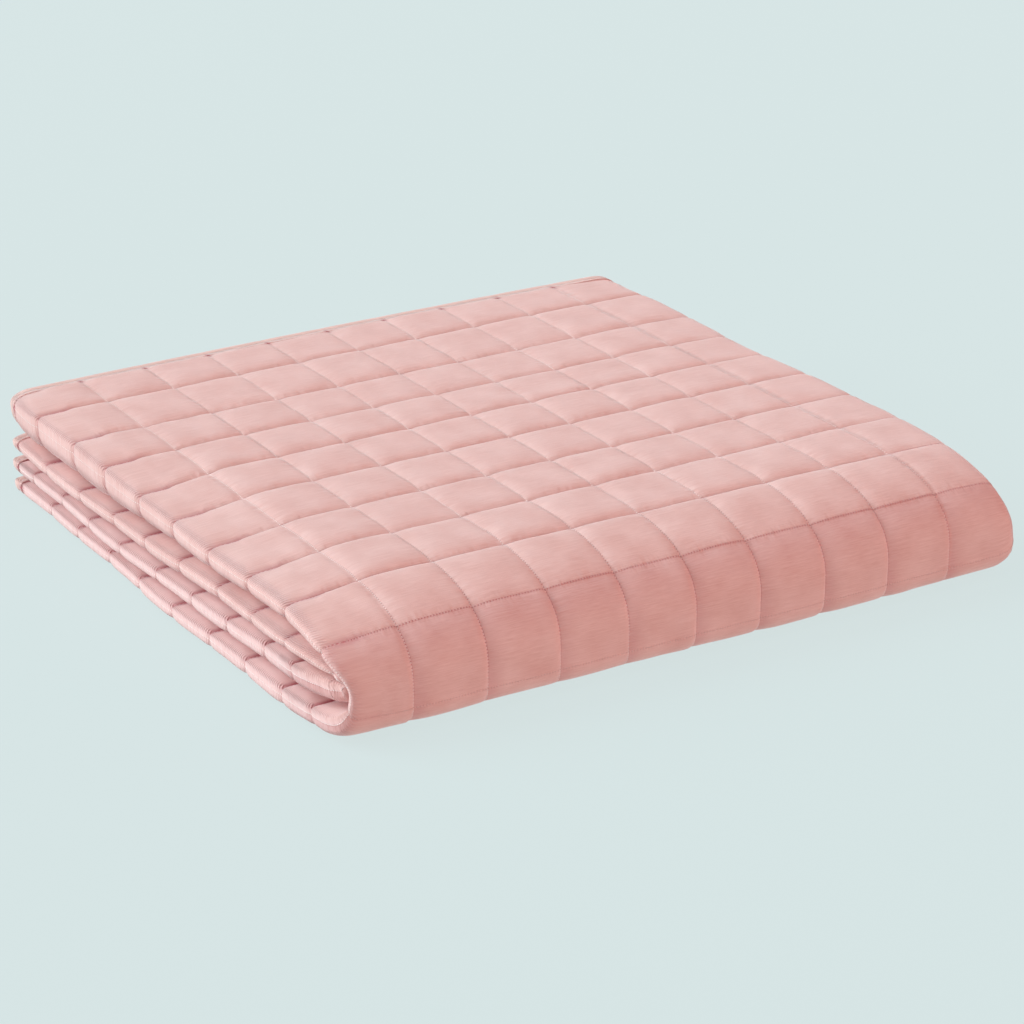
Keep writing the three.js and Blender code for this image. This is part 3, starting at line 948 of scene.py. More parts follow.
class Field:
    """A number that varies over a surface, on a shader socket, so that its maths reads as Python."""

    def __init__(self, graph: "Graph", socket: bpy.types.NodeSocket) -> None:
        """Wraps a socket of a graph's node."""
        self.graph = graph
        self.socket = socket

    def math(self, operation: str, *values: "Field | float") -> "Field":
        """Adds a Math node that takes this field first."""
        return self.graph.math(operation, self, *values)

    def __add__(self, other: "Field | float") -> "Field":
        """This + other."""
        return self.math("ADD", other)

    __radd__ = __add__

    def __sub__(self, other: "Field | float") -> "Field":
        """This - other."""
        return self.math("SUBTRACT", other)

    def __rsub__(self, other: float) -> "Field":
        """Other - this."""
        return self.graph.math("SUBTRACT", other, self)

    def __mul__(self, other: "Field | float") -> "Field":
        """This * other."""
        return self.math("MULTIPLY", other)

    __rmul__ = __mul__

    def __truediv__(self, other: "Field | float") -> "Field":
        """This / other."""
        return self.math("DIVIDE", other)

    def to_seam(self) -> "Field":
        """Distance to the nearest whole number."""
        return ((self + 0.5).math("FRACT") - 0.5).math("ABSOLUTE")

    def falling(self, reach: float) -> "Field":
        """1 at 0, falling to 0 at reach in a smooth curve.

        Args:
            reach: where it comes to 0.

        Returns:
            1 - 3 s^2 + 2 s^3 of the share s of the way.
        """
        node = self.graph.add(
            "ShaderNodeMapRange",
            {"interpolation_type": "SMOOTHSTEP"},
            {"Value": self, "From Min": 0.0, "From Max": reach, "To Min": 1.0, "To Max": 0.0},
        )
        return Field(self.graph, node.outputs["Result"])


class Graph:
    """The nodes of one material."""

    def __init__(self, name: str) -> None:
        """Makes an empty material.

        Args:
            name: the material's name.
        """
        self.material = bpy.data.materials.new(name)
        self.material.use_nodes = True
        self.tree = self.material.node_tree
        self.tree.nodes.clear()

    def add(self, kind: str, settings: dict | None = None, sockets: dict | None = None) -> bpy.types.Node:
        """Adds a node.

        Args:
            kind: the node's type.
            settings: its own settings, which are set first.
            sockets: values, fields or sockets for its inputs, by name or number.

        Returns:
            The node.
        """
        node = self.tree.nodes.new(kind)
        for key, value in (settings or {}).items():
            setattr(node, key, value)
        for key, value in (sockets or {}).items():
            if isinstance(value, Field):
                value = value.socket
            if isinstance(value, bpy.types.NodeSocket):
                self.tree.links.new(value, node.inputs[key])
            else:
                node.inputs[key].default_value = value
        return node

    def math(self, operation: str, *values: Field | float) -> Field:
        """Adds a Math node.

        Args:
            operation: the node's operation.
            values: its inputs in order.

        Returns:
            Its result.
        """
        node = self.add("ShaderNodeMath", {"operation": operation}, dict(enumerate(values)))
        return Field(self, node.outputs["Value"])

    def noise(self, u: Field, v: Field, detail: float, roughness: float = 0.5) -> Field:
        """Noise from 0 to 1 over two fields, with features about 1 across.

        Args:
            u: first way.
            v: second way.
            detail: octaves.
            roughness: share of each finer octave.

        Returns:
            The noise.
        """
        place = self.add("ShaderNodeCombineXYZ", None, {"X": u, "Y": v})
        inputs = {"Vector": place.outputs["Vector"], "Scale": 1.0, "Detail": detail, "Roughness": roughness}
        node = self.add("ShaderNodeTexNoise", {"noise_dimensions": "2D"}, inputs)
        return Field(self, node.outputs["Fac"])

    def mixed(self, share: Field, first: Colour | bpy.types.NodeSocket,
              second: Colour | bpy.types.NodeSocket) -> bpy.types.NodeSocket:
        """Mixes two colours.

        Args:
            share: share of the second colour.
            first: first colour.
            second: second colour.

        Returns:
            The mixed colour.
        """
        node = self.add("ShaderNodeMix", {"data_type": "RGBA"})
        for index, value in zip(MIX_SOCKETS, (share, first, second)):
            if isinstance(value, tuple):
                node.inputs[index].default_value = (*value, 1.0)
            else:
                self.tree.links.new(getattr(value, "socket", value), node.inputs[index])
        return node.outputs[2]

    def finished(self, colour: bpy.types.NodeSocket, roughness: float, specular: float, glow: Colour,
                 more: dict | None = None) -> bpy.types.Material:
        """Ends the graph with a matt shader.

        Args:
            colour: its colour.
            roughness: its roughness.
            specular: its specular level.
            glow: what it gives off by itself.
            more: its other inputs.

        Returns:
            The material.
        """
        inputs = {
            "Base Color": colour,
            "Roughness": roughness,
            "Specular IOR Level": specular,
            "Emission Color": (*glow, 1.0),
            "Emission Strength": 1.0,
        }
        shader = self.add("ShaderNodeBsdfPrincipled", None, {**inputs, **(more or {})})
        self.add("ShaderNodeOutputMaterial", None, {"Surface": shader.outputs["BSDF"]})
        return self.material


class ClothPlace:
    """Where the point that is shaded lies on the flat cloth, as fields in columns and rows."""

    def __init__(self, graph: Graph, quilt: Quilt) -> None:
        """Reads the column u and the row v, and works out distances from seams, creases and ends.

        Args:
            graph: the material's nodes.
            quilt: the coverlet's own sizes.
        """
        uv = graph.add("ShaderNodeUVMap", {"uv_map": CLOTH_MAP})
        parts = graph.add("ShaderNodeSeparateXYZ", None, {"Vector": uv.outputs["UV"]})
        self.graph = graph
        self.u = Field(graph, parts.outputs["X"])
        self.v = Field(graph, parts.outputs["Y"])
        self.to_long = self.u.to_seam()
        self.to_cross = self.v.to_seam()
        self.from_second = (self.u - float(quilt.second_crease)).math("ABSOLUTE")
        self.from_crease = self.u.math("ABSOLUTE").math("MINIMUM", self.from_second)
        self.to_end = self.v.math("MINIMUM", float(quilt.rows) - self.v)


@dataclass(frozen=True)
class Fade:
    """A share that is full at one place and falls smoothly to 0 within a reach of it."""

    at: float
    reach: float
    share: float = 1.0

    def around(self, place: Field) -> Field:
        """The share, which falls on both sides."""
        return (place - self.at).math("ABSOLUTE").falling(self.reach) * self.share

    def beyond(self, place: Field) -> Field:
        """The share, which is full up to the place and falls beyond it."""
        return (place - self.at).math("MAXIMUM", 0.0).falling(self.reach) * self.share


@dataclass(frozen=True)
class Grain:
    """Noise over the cloth: its size along the columns' way and the rows', in metres.

    Tone is its share in the streaks of colour, and relief its share in the bump.
    """

    length: float
    width: float
    octaves: float = 0.0
    roughness: float = 0.5
    tone: float = 0.0
    relief: float = 0.0

    def over(self, place: ClothPlace, square: float) -> Field:
        """The noise, from 0 to 1, where a square of the cloth has this many metres."""
        u, v = place.u * (square / self.length), place.v * (square / self.width)
        return place.graph.noise(u, v, self.octaves, self.roughness)


@dataclass(frozen=True)
class Tones:
    """The colours of a cotton, with its painted shade and painted light, as linear red, green and blue."""

    light: Colour
    deep: Colour
    # painted shade: the dark red laid in the seams, creases, folds and stitch holes, where shade falls
    painted_shade: Colour
    # painted light: a lighter, pinker tone for light bounced onto the sides of the rolls, and for the
    # bright rims of the laps on the front
    roll: Colour
    trim: Colour


@dataclass(frozen=True)
class CottonFinish:
    """Washed cotton with a slub: thicker threads that run across the stack as fine streaks.

    The fades are over rows (10 is the middle of the front, 11 the near edge of the top and 20 the
    upper back end), over distances in squares from a seam, a crease or an end, or, for a lap, over
    the share of the way across a square.
    """

    name: str
    slot: str
    tones: Tones
    quilt: Quilt
    roughness: float = 0.85
    specular: float = 0.25
    sheen: float = 0.55
    sheen_roughness: float = 0.35
    sheen_tint: Colour = (1.0, 0.93, 0.94)
    # painted light: a faint pink glow that lifts the shadows of the cloth and the binding, for light
    # bounced between the folds
    glow: Colour = (0.020, 0.008, 0.009)
    relief: float = 0.00045
    grains: tuple[Grain, ...] = (
        Grain(0.026, 0.0008, octaves=3.0, roughness=0.6, tone=1.35, relief=0.3),
        Grain(0.007, 0.00042, octaves=1.0, tone=0.7, relief=0.18),
        Grain(0.03, 0.03, octaves=2.0, tone=1.0),
        Grain(0.0006, 0.0006, relief=0.12),
    )
    quiet_front: Fade = Fade(10.0, 0.6, 0.8)
    quiet_end: Fade = Fade(20.0, 0.3, 0.7)
    # painted shade along the seams
    seam_shade_reach: float = 0.0011
    seam_shade_front: Fade = Fade(10.1, 1.3, 0.7)
    seam_shade_cross: float = 0.35
    # painted shade at the pinches where the cross seams cross the rolls beside the creases, weaker between
    # columns 0 and 15
    shade_wedge: Fade = Fade(0.34, 0.36)
    shade_wedge_reach: float = 0.1
    shade_wedge_drop: float = 0.6
    shade_wedge_drop_columns: tuple[float, float] = (0.0, 15.0)
    # painted light: up to half the roll tone over the creases below the front, for light bounced onto the
    # lower rolls
    painted_bounce_rows: Fade = Fade(8.6, 1.4)
    painted_bounce_side: Fade = Fade(0.25, 0.35, 0.5)
    # painted shade on the layers past the creases, where they lie on each other
    inside_shade_first: Fade = Fade(0.12, 0.25)
    inside_shade_second: Fade = Fade(0.14, 0.25)
    inside_shade_share: float = 0.05
    trim_share: float = 0.7
    # painted shade in the dimples where the long seams meet the bound ends
    corner_shade_reach: float = 0.06
    corner: Fade = Fade(0.0, 0.15, 0.8)
    # painted shade on the front, just under the seam at its top edge
    shade_under_edge: Fade = Fade(11.0, 0.55, 0.16)
    # painted shade on the right of each long seam of the front, and a painted highlight on the rim left of
    # it
    lap_rows: Fade = Fade(9.6, 1.7)
    lap_shade: Fade = Fade(0.0, 0.3, 0.27)
    lap_light: Fade = Fade(1.0, 0.06, 0.5)
    # painted shade in the stitch holes; along the long seams it is strongest round the front's top edge and
    # faint on the top
    hole_reach: float = 0.0008
    hole_shade_share: float = 0.8
    hole_shoulder: Fade = Fade(11.4, 2.4, 0.85)
    rim: Fade = Fade(0.11, 0.12)
    rim_front: Fade = Fade(10.4, 1.5, 0.75)
    rim_slant: float = 9.0
    # painted shade on the slanting marks beside the creases
    rim_shade_share: float = 0.7
    rim_height: float = 3.2
    tick_reach: float = 0.003
    tick_height: float = 0.9
    pucker_reach: float = 0.16
    puckers_per_square: float = 11.0
    pucker_drift: tuple[float, float] = (2.6, 3.0)
    pucker_height: float = 2.4

    def material(self) -> bpy.types.Material:
        """Makes the material.

        The colour runs from deep to light by streaks of noise drawn out along the columns. Over
        them lie the washes in order, most of them painted shade or painted light, such as painted
        shade along the seams and a dark dot of painted shade at every stitch hole. The bump adds
        the noise, puckers that run across the seams, and a small ridge at every stitch.

        Returns:
            The material.
        """
        graph = Graph(self.name)
        place = ClothPlace(graph, self.quilt)
        streaks, height = 0.5, 0.0
        for grain in self.grains:
            noise = grain.over(place, self.quilt.square)
            streaks = streaks + (noise - 0.5) * grain.tone
            height = height + noise * grain.relief
        streaks = streaks.math("MAXIMUM", 0.0).math("MINIMUM", 1.0)
        quiet = 1.0 - self.quiet_front.around(place.v) - self.quiet_end.around(place.v)
        rim_ticks = self._rim_ticks(place)
        colour = graph.mixed(streaks, self.tones.deep, self.tones.light)
        for share, tone in self._washes(place, quiet, rim_ticks):
            colour = graph.mixed(share, colour, tone)
        long_puckers = self._puckers(place.u, place.v, place.to_long)
        cross_puckers = self._puckers(place.v, place.u, place.to_cross)
        ticks = self._ticks(place.v, place.to_long) + self._ticks(place.u, place.to_cross)
        height = height + long_puckers + cross_puckers * quiet + ticks + rim_ticks * self.rim_height
        relief = {"Height": height, "Distance": self.relief, "Strength": 1.0}
        bump = graph.add("ShaderNodeBump", None, relief)
        cotton = {
            "Normal": bump.outputs["Normal"],
            "Sheen Weight": self.sheen,
            "Sheen Roughness": self.sheen_roughness,
            "Sheen Tint": (*self.sheen_tint, 1.0),
        }
        return graph.finished(colour, self.roughness, self.specular, self.glow, cotton)

    def _washes(self, place: ClothPlace, quiet: Field, rim_ticks: Field) -> list[tuple[Field, Colour]]:
        """The colours that lie over the streaks, each with its share, from the lowest one up. Most
        are painted light on the rolls and on the laps' rims, or painted shade in the seams,
        creases, folds and stitch holes.

        Args:
            place: where the point lies on the cloth.
            quiet: 1 where the seams are as strong as elsewhere, and less where they are faint.
            rim_ticks: the marks along the creases.

        Returns:
            Shares and colours.
        """
        painted_shade, roll = self.tones.painted_shade, self.tones.roll
        first, last = self.shade_wedge_drop_columns
        dropped = place.u.math("GREATER_THAN", first) * place.u.math("LESS_THAN", last) * self.shade_wedge_drop
        # painted shade at the pinches on the rolls
        shade_wedges = self.shade_wedge.around(place.from_crease) * place.to_cross.falling(self.shade_wedge_reach)
        shade_wedges = shade_wedges * quiet * (1.0 - dropped)
        front, across = self.lap_rows.around(place.v), place.u.math("FRACT")
        below_edge = place.v.math("LESS_THAN", self.shade_under_edge.at)
        return [
            # painted light on the lower rolls
            (self.painted_bounce_rows.beyond(place.v) * self.painted_bounce_side.beyond(place.from_crease), roll),
            # painted shade between the layers
            (self._inside_shade(place), painted_shade),
            (shade_wedges, painted_shade),
            # painted shade in the seams
            (self._seam_shade(place) * quiet, painted_shade),
            (place.to_end.math("LESS_THAN", 0.0) * self.trim_share, self.tones.trim),
            # painted shade at the ends of the long seams
            (place.to_long.falling(self.corner_shade_reach) * self.corner.around(place.to_end), painted_shade),
            # painted shade under the front's top edge
            (below_edge * self.shade_under_edge.around(place.v), painted_shade),
            # painted shade and a painted highlight at the laps on the front
            (self.lap_shade.around(across) * front, painted_shade),
            (self.lap_light.around(across) * front, roll),
            # painted shade in the stitch holes
            (self._hole_shade(place) * quiet * self.hole_shade_share, painted_shade),
            # painted shade on the marks beside the creases
            (rim_ticks * self.rim_shade_share, painted_shade),
        ]

    def _seam_shade(self, place: ClothPlace) -> Field:
        """Painted shade along every cross seam, and along the long ones in front, a millimetre wide.

        Args:
            place: where the point lies on the cloth.

        Returns:
            The line's strength, highest in the middle of a seam.
        """
        reach = self.seam_shade_reach / self.quilt.square
        long_seam_shade = place.to_long.falling(reach) * self.seam_shade_front.around(place.v)
        return place.to_cross.falling(reach) * self.seam_shade_cross + long_seam_shade

    def _inside_shade(self, place: ClothPlace) -> Field:
        """Painted shade: darkens the layers a little past the creases, where they lie on each other.

        Args:
            place: where the point lies on the cloth.

        Returns:
            A small share inside the stack, and 0 on its outside.
        """
        past_first = 1.0 - self.inside_shade_first.beyond(0.0 - place.u)
        past_second = 1.0 - self.inside_shade_second.beyond(place.from_second)
        within = place.u.math("GREATER_THAN", float(self.quilt.layer_columns + 1))
        return (past_first + past_second * within) * self.inside_shade_share

    def _rim_ticks(self, place: ClothPlace) -> Field:
        """Slanting marks beside the creases, one to a stitch, which are fainter in front.

        Args:
            place: where the point lies on the cloth.

        Returns:
            Waves from 0 to 0.5, times the strength of the rim.
        """
        rim = self.rim.around(place.from_crease) * (1.0 - self.rim_front.around(place.v))
        slanting = place.v * self.quilt.stitches_per_square + place.from_crease * self.rim_slant
        return slanting.to_seam() * rim

    def _ticks(self, along: Field, to_seam: Field) -> Field:
        """Small ridges beside a seam, one to a stitch, which fade within three millimetres."""
        wave = (along * self.quilt.stitches_per_square).to_seam()
        return wave * to_seam.falling(self.tick_reach / self.quilt.square) * self.tick_height

    def _hole_shade(self, place: ClothPlace) -> Field:
        """Painted shade in the holes at the ends of the stitches along every seam, which lie at even steps.

        Args:
            place: where the point lies on the cloth.

        Returns:
            1 in the middle of a hole, falling to 0 at its reach.
        """
        count = self.quilt.stitches_per_square
        reach = self.hole_reach / self.quilt.square
        shoulder = self.hole_shoulder.around(place.v) + (1.0 - self.hole_shoulder.share)
        dots = []
        for across, along, weight in ((place.to_long, place.v, shoulder), (place.to_cross, place.u, 1.0)):
            step = (along * count).to_seam() / count
            dots.append((across * across + step * step).math("SQRT").falling(reach) * weight)
        return dots[0].math("MAXIMUM", dots[1])

    def _puckers(self, across: Field, along: Field, to_seam: Field) -> Field:
        """Ridges at right angles to a seam, which fade away from it.

        Args:
            across: place across the seam.
            along: place along the seam.
            to_seam: distance to the seam.

        Returns:
            Noise drawn out across the seam, times a fall from the seam.
        """
        drifted = across * self.pucker_drift[0] + along * self.pucker_drift[1]
        ridges = across.graph.noise(drifted, along * self.puckers_per_square, 1.0)
        return (ridges - 0.5) * self.pucker_height * to_seam.falling(self.pucker_reach)


@dataclass(frozen=True)
class PlainFinish:
    """A plain matt finish for thread and for the floor."""

    name: str
    colour: Colour
    shade: Colour
    grain: float
    roughness: float
    glow: Colour = (0.0, 0.0, 0.0)
    octaves: float = 2.0
    specular: float = 0.2

    def material(self) -> bpy.types.Material:
        """Makes the material: two close colours mixed by noise over the object's own space.

        Returns:
            The material, matt and without a bump.
        """
        graph = Graph(self.name)
        place = graph.add("ShaderNodeTexCoord")
        inputs = {"Vector": place.outputs["Object"], "Scale": self.grain, "Detail": self.octaves}
        noise = graph.add("ShaderNodeTexNoise", None, inputs)
        colour = graph.mixed(Field(graph, noise.outputs["Fac"]), self.colour, self.shade)
        return graph.finished(colour, self.roughness, self.specular, self.glow)


@dataclass
class QuiltedCloth:
    """The padded cloth with its squares, in one piece."""

    surface: QuiltedSurface
    finish: CottonFinish
    square_steps: int = 14
    left_steps: tuple[int, ...] = (1, 5, 8, 7, 14, 11)
    right_steps: tuple[int, ...] = (11, 18, 1, 7, 4, 7, 14, 7, 8, 6)
    back_steps: tuple[int, ...] = (8, 3, 8, 3, 8, 1, 8, 1, 8, 3, 8, 3, 8)
    edge_gap: float = 0.7
    node: str = "quilted_cloth"

    def _columns(self) -> tuple[Array, Array]:
        """Places the columns of the mesh, close together in the creases and beside the seams.

        Returns:
            Rising columns of the face, close together where it shows, and of the back.
        """
        quilt, stack = self.surface.folding.quilt, self.surface.folding.stack
        half, layer, second = stack.creases.half, quilt.layer_columns, quilt.second_crease
        fold = [layer - 1, stack.wide.first, stack.wide.last, layer + 1]
        crease = [second - 1, second - half, second + half, second + 1]
        left = [quilt.first_column, 2 - layer, -3, -1, -half, half, 1]
        right = [*fold, second - 2, *crease, second + 3, quilt.last_column]
        behind = [quilt.first_column, -1, -half, half, 1, *fold, *crease, quilt.last_column]
        outer = seamed(1, layer - 1, self.square_steps)
        face = [spaced(left, self.left_steps)[:-1], outer[:-1], spaced(right, self.right_steps)]
        face, back = np.concatenate(face), spaced(behind, self.back_steps)
        return face, back

    def build(self) -> bpy.types.Object:
        """Makes the cloth's mesh in place of its solid.

        Returns:
            The piece.
        """
        quilt = self.surface.folding.quilt
        face, back = self._columns()
        rows = seamed(0, quilt.rows, self.square_steps)
        margin = quilt.edge_margin + self.edge_gap * quilt.piece_gap / quilt.square
        rows = np.concatenate([[-margin], rows, [quilt.rows + margin]])
        piece = closed_sheet("quilted_cover", self.surface.face, self.surface.back, face, back, rows)
        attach(piece, BODY)
        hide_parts(self.node)
        return piece

    def dress(self, piece: bpy.types.Object) -> None:
        """Gives the cloth its finish."""
        piece.data.materials.append(self.finish.material())


class Edge(Enum):
    """The four edges of the cloth that carry binding: the solid's name, and where it lies."""

    UPPER_END = "end_binding_upper"
    LOWER_END = "end_binding_lower"
    OUTER_SIDE = "side_binding_outer"
    INNER_SIDE = "side_binding_inner"


@dataclass
class Binding:
    """A strip sewn round one edge of the cloth.

    Places across it are shares of the way from its inner edge to its outer one.
    """

    folding: Folding
    finish: CottonFinish
    edge: Edge
    rounding: float = 0.8
    across_steps: int = 10
    across_power: float = 0.8
    side_stops: tuple[float, float] = (8, 13)
    side_steps: tuple[int, ...] = (16, 40, 14)
    end_steps: tuple[int, ...] = (72, 14, 76, 18, 72, 14, 72)
    pinch: float = 0.1
    pinch_reach: float = 0.08
    sewn_share: float = 0.16
    sewn_depth: float = 0.16
    sewn_reach: float = 0.07

    @property
    def is_end(self) -> bool:
        """Whether the strip lies along a row, at an end of the cloth."""
        return self.edge in (Edge.UPPER_END, Edge.LOWER_END)

    @property
    def way(self) -> int:
        """1 if the cloth's edge faces rising rows or columns, or else -1."""
        return 1 if self.edge in (Edge.UPPER_END, Edge.INNER_SIDE) else -1

    @property
    def gap(self) -> float:
        """Gap between the cloth and the strip, in squares."""
        return self.folding.quilt.piece_gap / self.folding.quilt.square

    @property
    def width(self) -> float:
        """Width of the strip, in squares."""
        return self.folding.quilt.binding_width - self.gap

    @property
    def inner(self) -> float:
        """Row or column of the strip's inner edge.

        Returns:
            The cloth's edge, and past it the margin and the gap.
        """
        quilt, outward = self.folding.quilt, self.way > 0
        if self.is_end:
            edge = quilt.rows if outward else 0
        elif outward:
            edge = quilt.last_column - quilt.edge_margin
        else:
            edge = quilt.first_column + quilt.edge_margin
        return edge + self.way * (quilt.edge_margin + self.gap)

    def _half(self, share: Array, along: Array) -> Array:
        """Half the strip's thickness.

        It is T / 2 * sqrt(1 - rounding * s^3) at the share s of the way to the outer edge, a little
        less at the seams of the cloth, and drawn in along the sewn line.

        Args:
            share: share of the way from the inner edge to the outer one.
            along: column or row along the strip.

        Returns:
            Half the thickness.
        """
        half = self.folding.quilt.binding_thickness / 2
        round_edge = np.sqrt(1 - self.rounding * np.clip(share, 0, 1) ** 3)
        drawn = 1 - self.pinch * bell(np.abs(along - np.round(along)), 0.0, self.pinch_reach)
        sewn = 1 - self.sewn_depth * bell(share, self.sewn_share, self.sewn_reach)
        return half * round_edge * drawn * sewn

    def _surface(self, side: int) -> SurfaceAt:
        """Gives one surface of the strip.

        Args:
            side: 1 for the face and -1 for the back.

        Returns:
            A function from columns and rows to points.
        """
        def points(column: Array, row: Array) -> Array:
            """Points of the surface, half a thickness off the middle of the strip."""
            share = self.way * ((row if self.is_end else column) - self.inner) / self.width
            return self.folding.place(column, row, side * self._half(share, column if self.is_end else row))

        return points

    def build(self) -> bpy.types.Object:
        """Makes the strip's mesh in place of its solid.

        Returns:
            The piece.
        """
        quilt = self.folding.quilt
        shares = np.linspace(0, 1, self.across_steps + 1) ** self.across_power
        across = self.inner + self.way * shares * self.width
        across = across if self.way > 0 else across[::-1]
        if self.is_end:
            columns, rows = self._end_columns(), across
        else:
            stops = [-quilt.edge_margin, *self.side_stops, quilt.rows + quilt.edge_margin]
            columns, rows = across, spaced(stops, self.side_steps)
        name = self.edge.value.replace("binding", "strip")
        piece = closed_sheet(name, self._surface(1), self._surface(-1), columns, columns, rows)
        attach(piece, BODY)
        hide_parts(self.edge.value)
        return piece

    def _end_columns(self) -> Array:
        """Places the columns of an end strip.

        Returns:
            Rising columns, close together in the creases.
        """
        quilt, stack = self.folding.quilt, self.folding.stack
        half, second, rim = stack.creases.half, quilt.second_crease, quilt.binding_width
        stops = [quilt.first_column - rim, -half, half, stack.wide.first, stack.wide.last]
        stops += [second - half, second + half, quilt.last_column + rim]
        return spaced(stops, self.end_steps)

    def dress(self, piece: bpy.types.Object, material: bpy.types.Material) -> None:
        """Gives the strip its finish."""
        piece.data.materials.append(material)


class SeamWay(Enum):
    """Which way a seam runs over the cloth."""

    LONG = "long"      # along a whole column number
    CROSS = "cross"    # along a whole row number


@dataclass
class Stitching:
    """Lock stitches along the seams, each a short bar of thread."""

    surface: QuiltedSurface
    way: SeamWay
    length: float = 0.0018
    width: float = 0.0007
    height: float = 0.0005
    body_share: float = 0.32
    chord_share: float = 0.4
    probe: float = 0.001
    past_crease: float = 0.5
    slot: str = "quilted_cotton"

    def _places(self) -> tuple[Array, Array]:
        """Places the stitches of the seams that show, at even steps along each.

        Returns:
            Column and row of the middle of every stitch.
        """
        quilt, stack = self.surface.folding.quilt, self.surface.folding.stack
        count = quilt.stitches_per_square
        if self.way is SeamWay.LONG:
            seams = np.array([*range(quilt.layer_columns + 1), quilt.second_crease], float)
            along = (np.arange(quilt.rows * count) + 0.5) / count
            column, row = np.meshgrid(seams, along, indexing="ij")
            return column.ravel(), row.ravel()
        seams = np.arange(quilt.rows + 1, dtype=float)
        outer = (np.arange(int(-self.past_crease * count), int(stack.wide.last * count)) + 0.5) / count
        inner = quilt.second_crease + (np.arange(-count // 2, count // 2) + 0.5) / count
        column, row = np.meshgrid(np.concatenate([outer, inner]), seams, indexing="ij")
        return column.ravel(), row.ravel()

    def build(self) -> bpy.types.Object:
        """Makes the stitches as one mesh.

        A stitch is a bar of four sides with a point at each end, laid along its seam: its points
        are middle + along * a + aside * b + up * c of a small table of a, b and c.

        Returns:
            The piece.
        """
        column, row = self._places()
        step = self.chord_share * self.length / self.surface.folding.quilt.square
        long_way = self.way is SeamWay.LONG
        dc, dr = (0.0, step) if long_way else (step, 0.0)
        middle = self.surface.face(column, row)
        ahead = self.surface.face(column + dc, row + dr)
        behind = self.surface.face(column - dc, row - dr)
        above = self.surface.face(column, row, self.probe)
        along = ahead - behind
        along /= np.linalg.norm(along, axis=-1, keepdims=True)
        up = above - middle
        up -= along * np.sum(up * along, axis=-1, keepdims=True)
        up /= np.linalg.norm(up, axis=-1, keepdims=True)
        aside = np.cross(up, along)
        tip, body = self.length / 2, self.length * self.body_share
        ring = np.array([(-1, 0), (0, 1), (1, 0), (0, -1)]) * (self.width / 2, self.height / 2)
        shape = np.array([
            (-tip, 0.0, 0.0),
            (tip, 0.0, 0.0),
            *[(end, *corner) for end in (-body, body) for corner in ring],
        ])
        axes = np.stack([along, aside, up], axis=1)
        points = middle[:, None, :] + np.einsum("pk,nkx->npx", shape, axes)
        near = 2 + np.arange(len(ring))
        near_next = np.roll(near, -1)
        far, far_next = near + len(ring), near_next + len(ring)
        quads = np.stack([near, near_next, far_next, far], axis=-1)
        tips = np.concatenate([
            np.stack([np.zeros_like(near), near_next, near], axis=-1),
            np.stack([np.ones_like(near), far, far_next], axis=-1),
        ])
        offsets = np.arange(len(column))[:, None, None] * len(shape)
        piece = new_object(
            f"{self.way.value}_seam_stitches",
            points.reshape(-1, 3),
            [(quads[None] + offsets).reshape(-1, 4), (tips[None] + offsets).reshape(-1, 3)],
        )
        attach(piece, BODY)
        return piece

    def dress(self, piece: bpy.types.Object, material: bpy.types.Material) -> None:
        """Gives the stitches their thread's finish."""
        piece.data.materials.append(material)


@dataclass
class PhotoCamera:
    """The camera of the photograph, worked out from the crossings of the seams on the top.

    Its place is given in squares from the middle of the top seams, along its own three axes.
    """

    folding: Folding
    focal_pixels: float = 2856.0
    frame_pixels: float = 1024.0
    azimuth: float = 32.52
    elevation: float = 22.66
    roll: float = 0.43
    aside: float = -0.045
    above: float = 0.989
    away: float = 38.501
    sensor_width: float = 36.0
    clip: tuple[float, float] = (0.05, 50.0)

    def build(self) -> bpy.types.Object:
        """Makes the camera.

        Returns:
            The camera, which is also set as the scene's.
        """
        azimuth, elevation, roll = map(math.radians, (self.azimuth, self.elevation, self.roll))
        ahead = -direction(-azimuth, elevation)
        level = Vector((math.cos(azimuth), -math.sin(azimuth), 0.0))
        upright = level.cross(ahead)
        right = math.cos(roll) * level + math.sin(roll) * upright
        up = -math.sin(roll) * level + math.cos(roll) * upright
        square = self.folding.quilt.square
        place = -square * (self.aside * right + self.above * up + self.away * ahead)
        place += Vector(self.folding.stack.top_centre)
        data = bpy.data.cameras.new("camera")
        data.sensor_width = self.sensor_width
        data.lens = self.focal_pixels / self.frame_pixels * data.sensor_width
        data.clip_start, data.clip_end = self.clip
        camera = bpy.data.objects.new("camera", data)
        camera.matrix_world = Matrix.Translation(place) @ Matrix((right, up, -ahead)).transposed().to_4x4()
        bpy.context.scene.collection.objects.link(camera)
        bpy.context.scene.camera = camera
        return camera


@dataclass(frozen=True)
class SoftLight:
    """A wide even lamp, so far away that it lights the whole floor alike."""

    name: str
    azimuth: float
    elevation: float
    spread: float
    power: float
    colour: Colour = (1.0, 1.0, 1.0)

    def build(self) -> bpy.types.Object:
        """Makes the lamp. Azimuth 0 is in front of the stack and 90 to its right.

        Returns:
            The lamp, linked to the scene.
        """
        way = direction(math.radians(self.azimuth), math.radians(self.elevation))
        data = bpy.data.lights.new(self.name, "SUN")
        data.angle = math.radians(self.spread)
        data.energy = self.power
        data.color = self.colour
        lamp = bpy.data.objects.new(self.name, data)
        lamp.location = way
        lamp.rotation_euler = way.to_track_quat("Z", "Y").to_euler()
        bpy.context.scene.collection.objects.link(lamp)
        return lamp


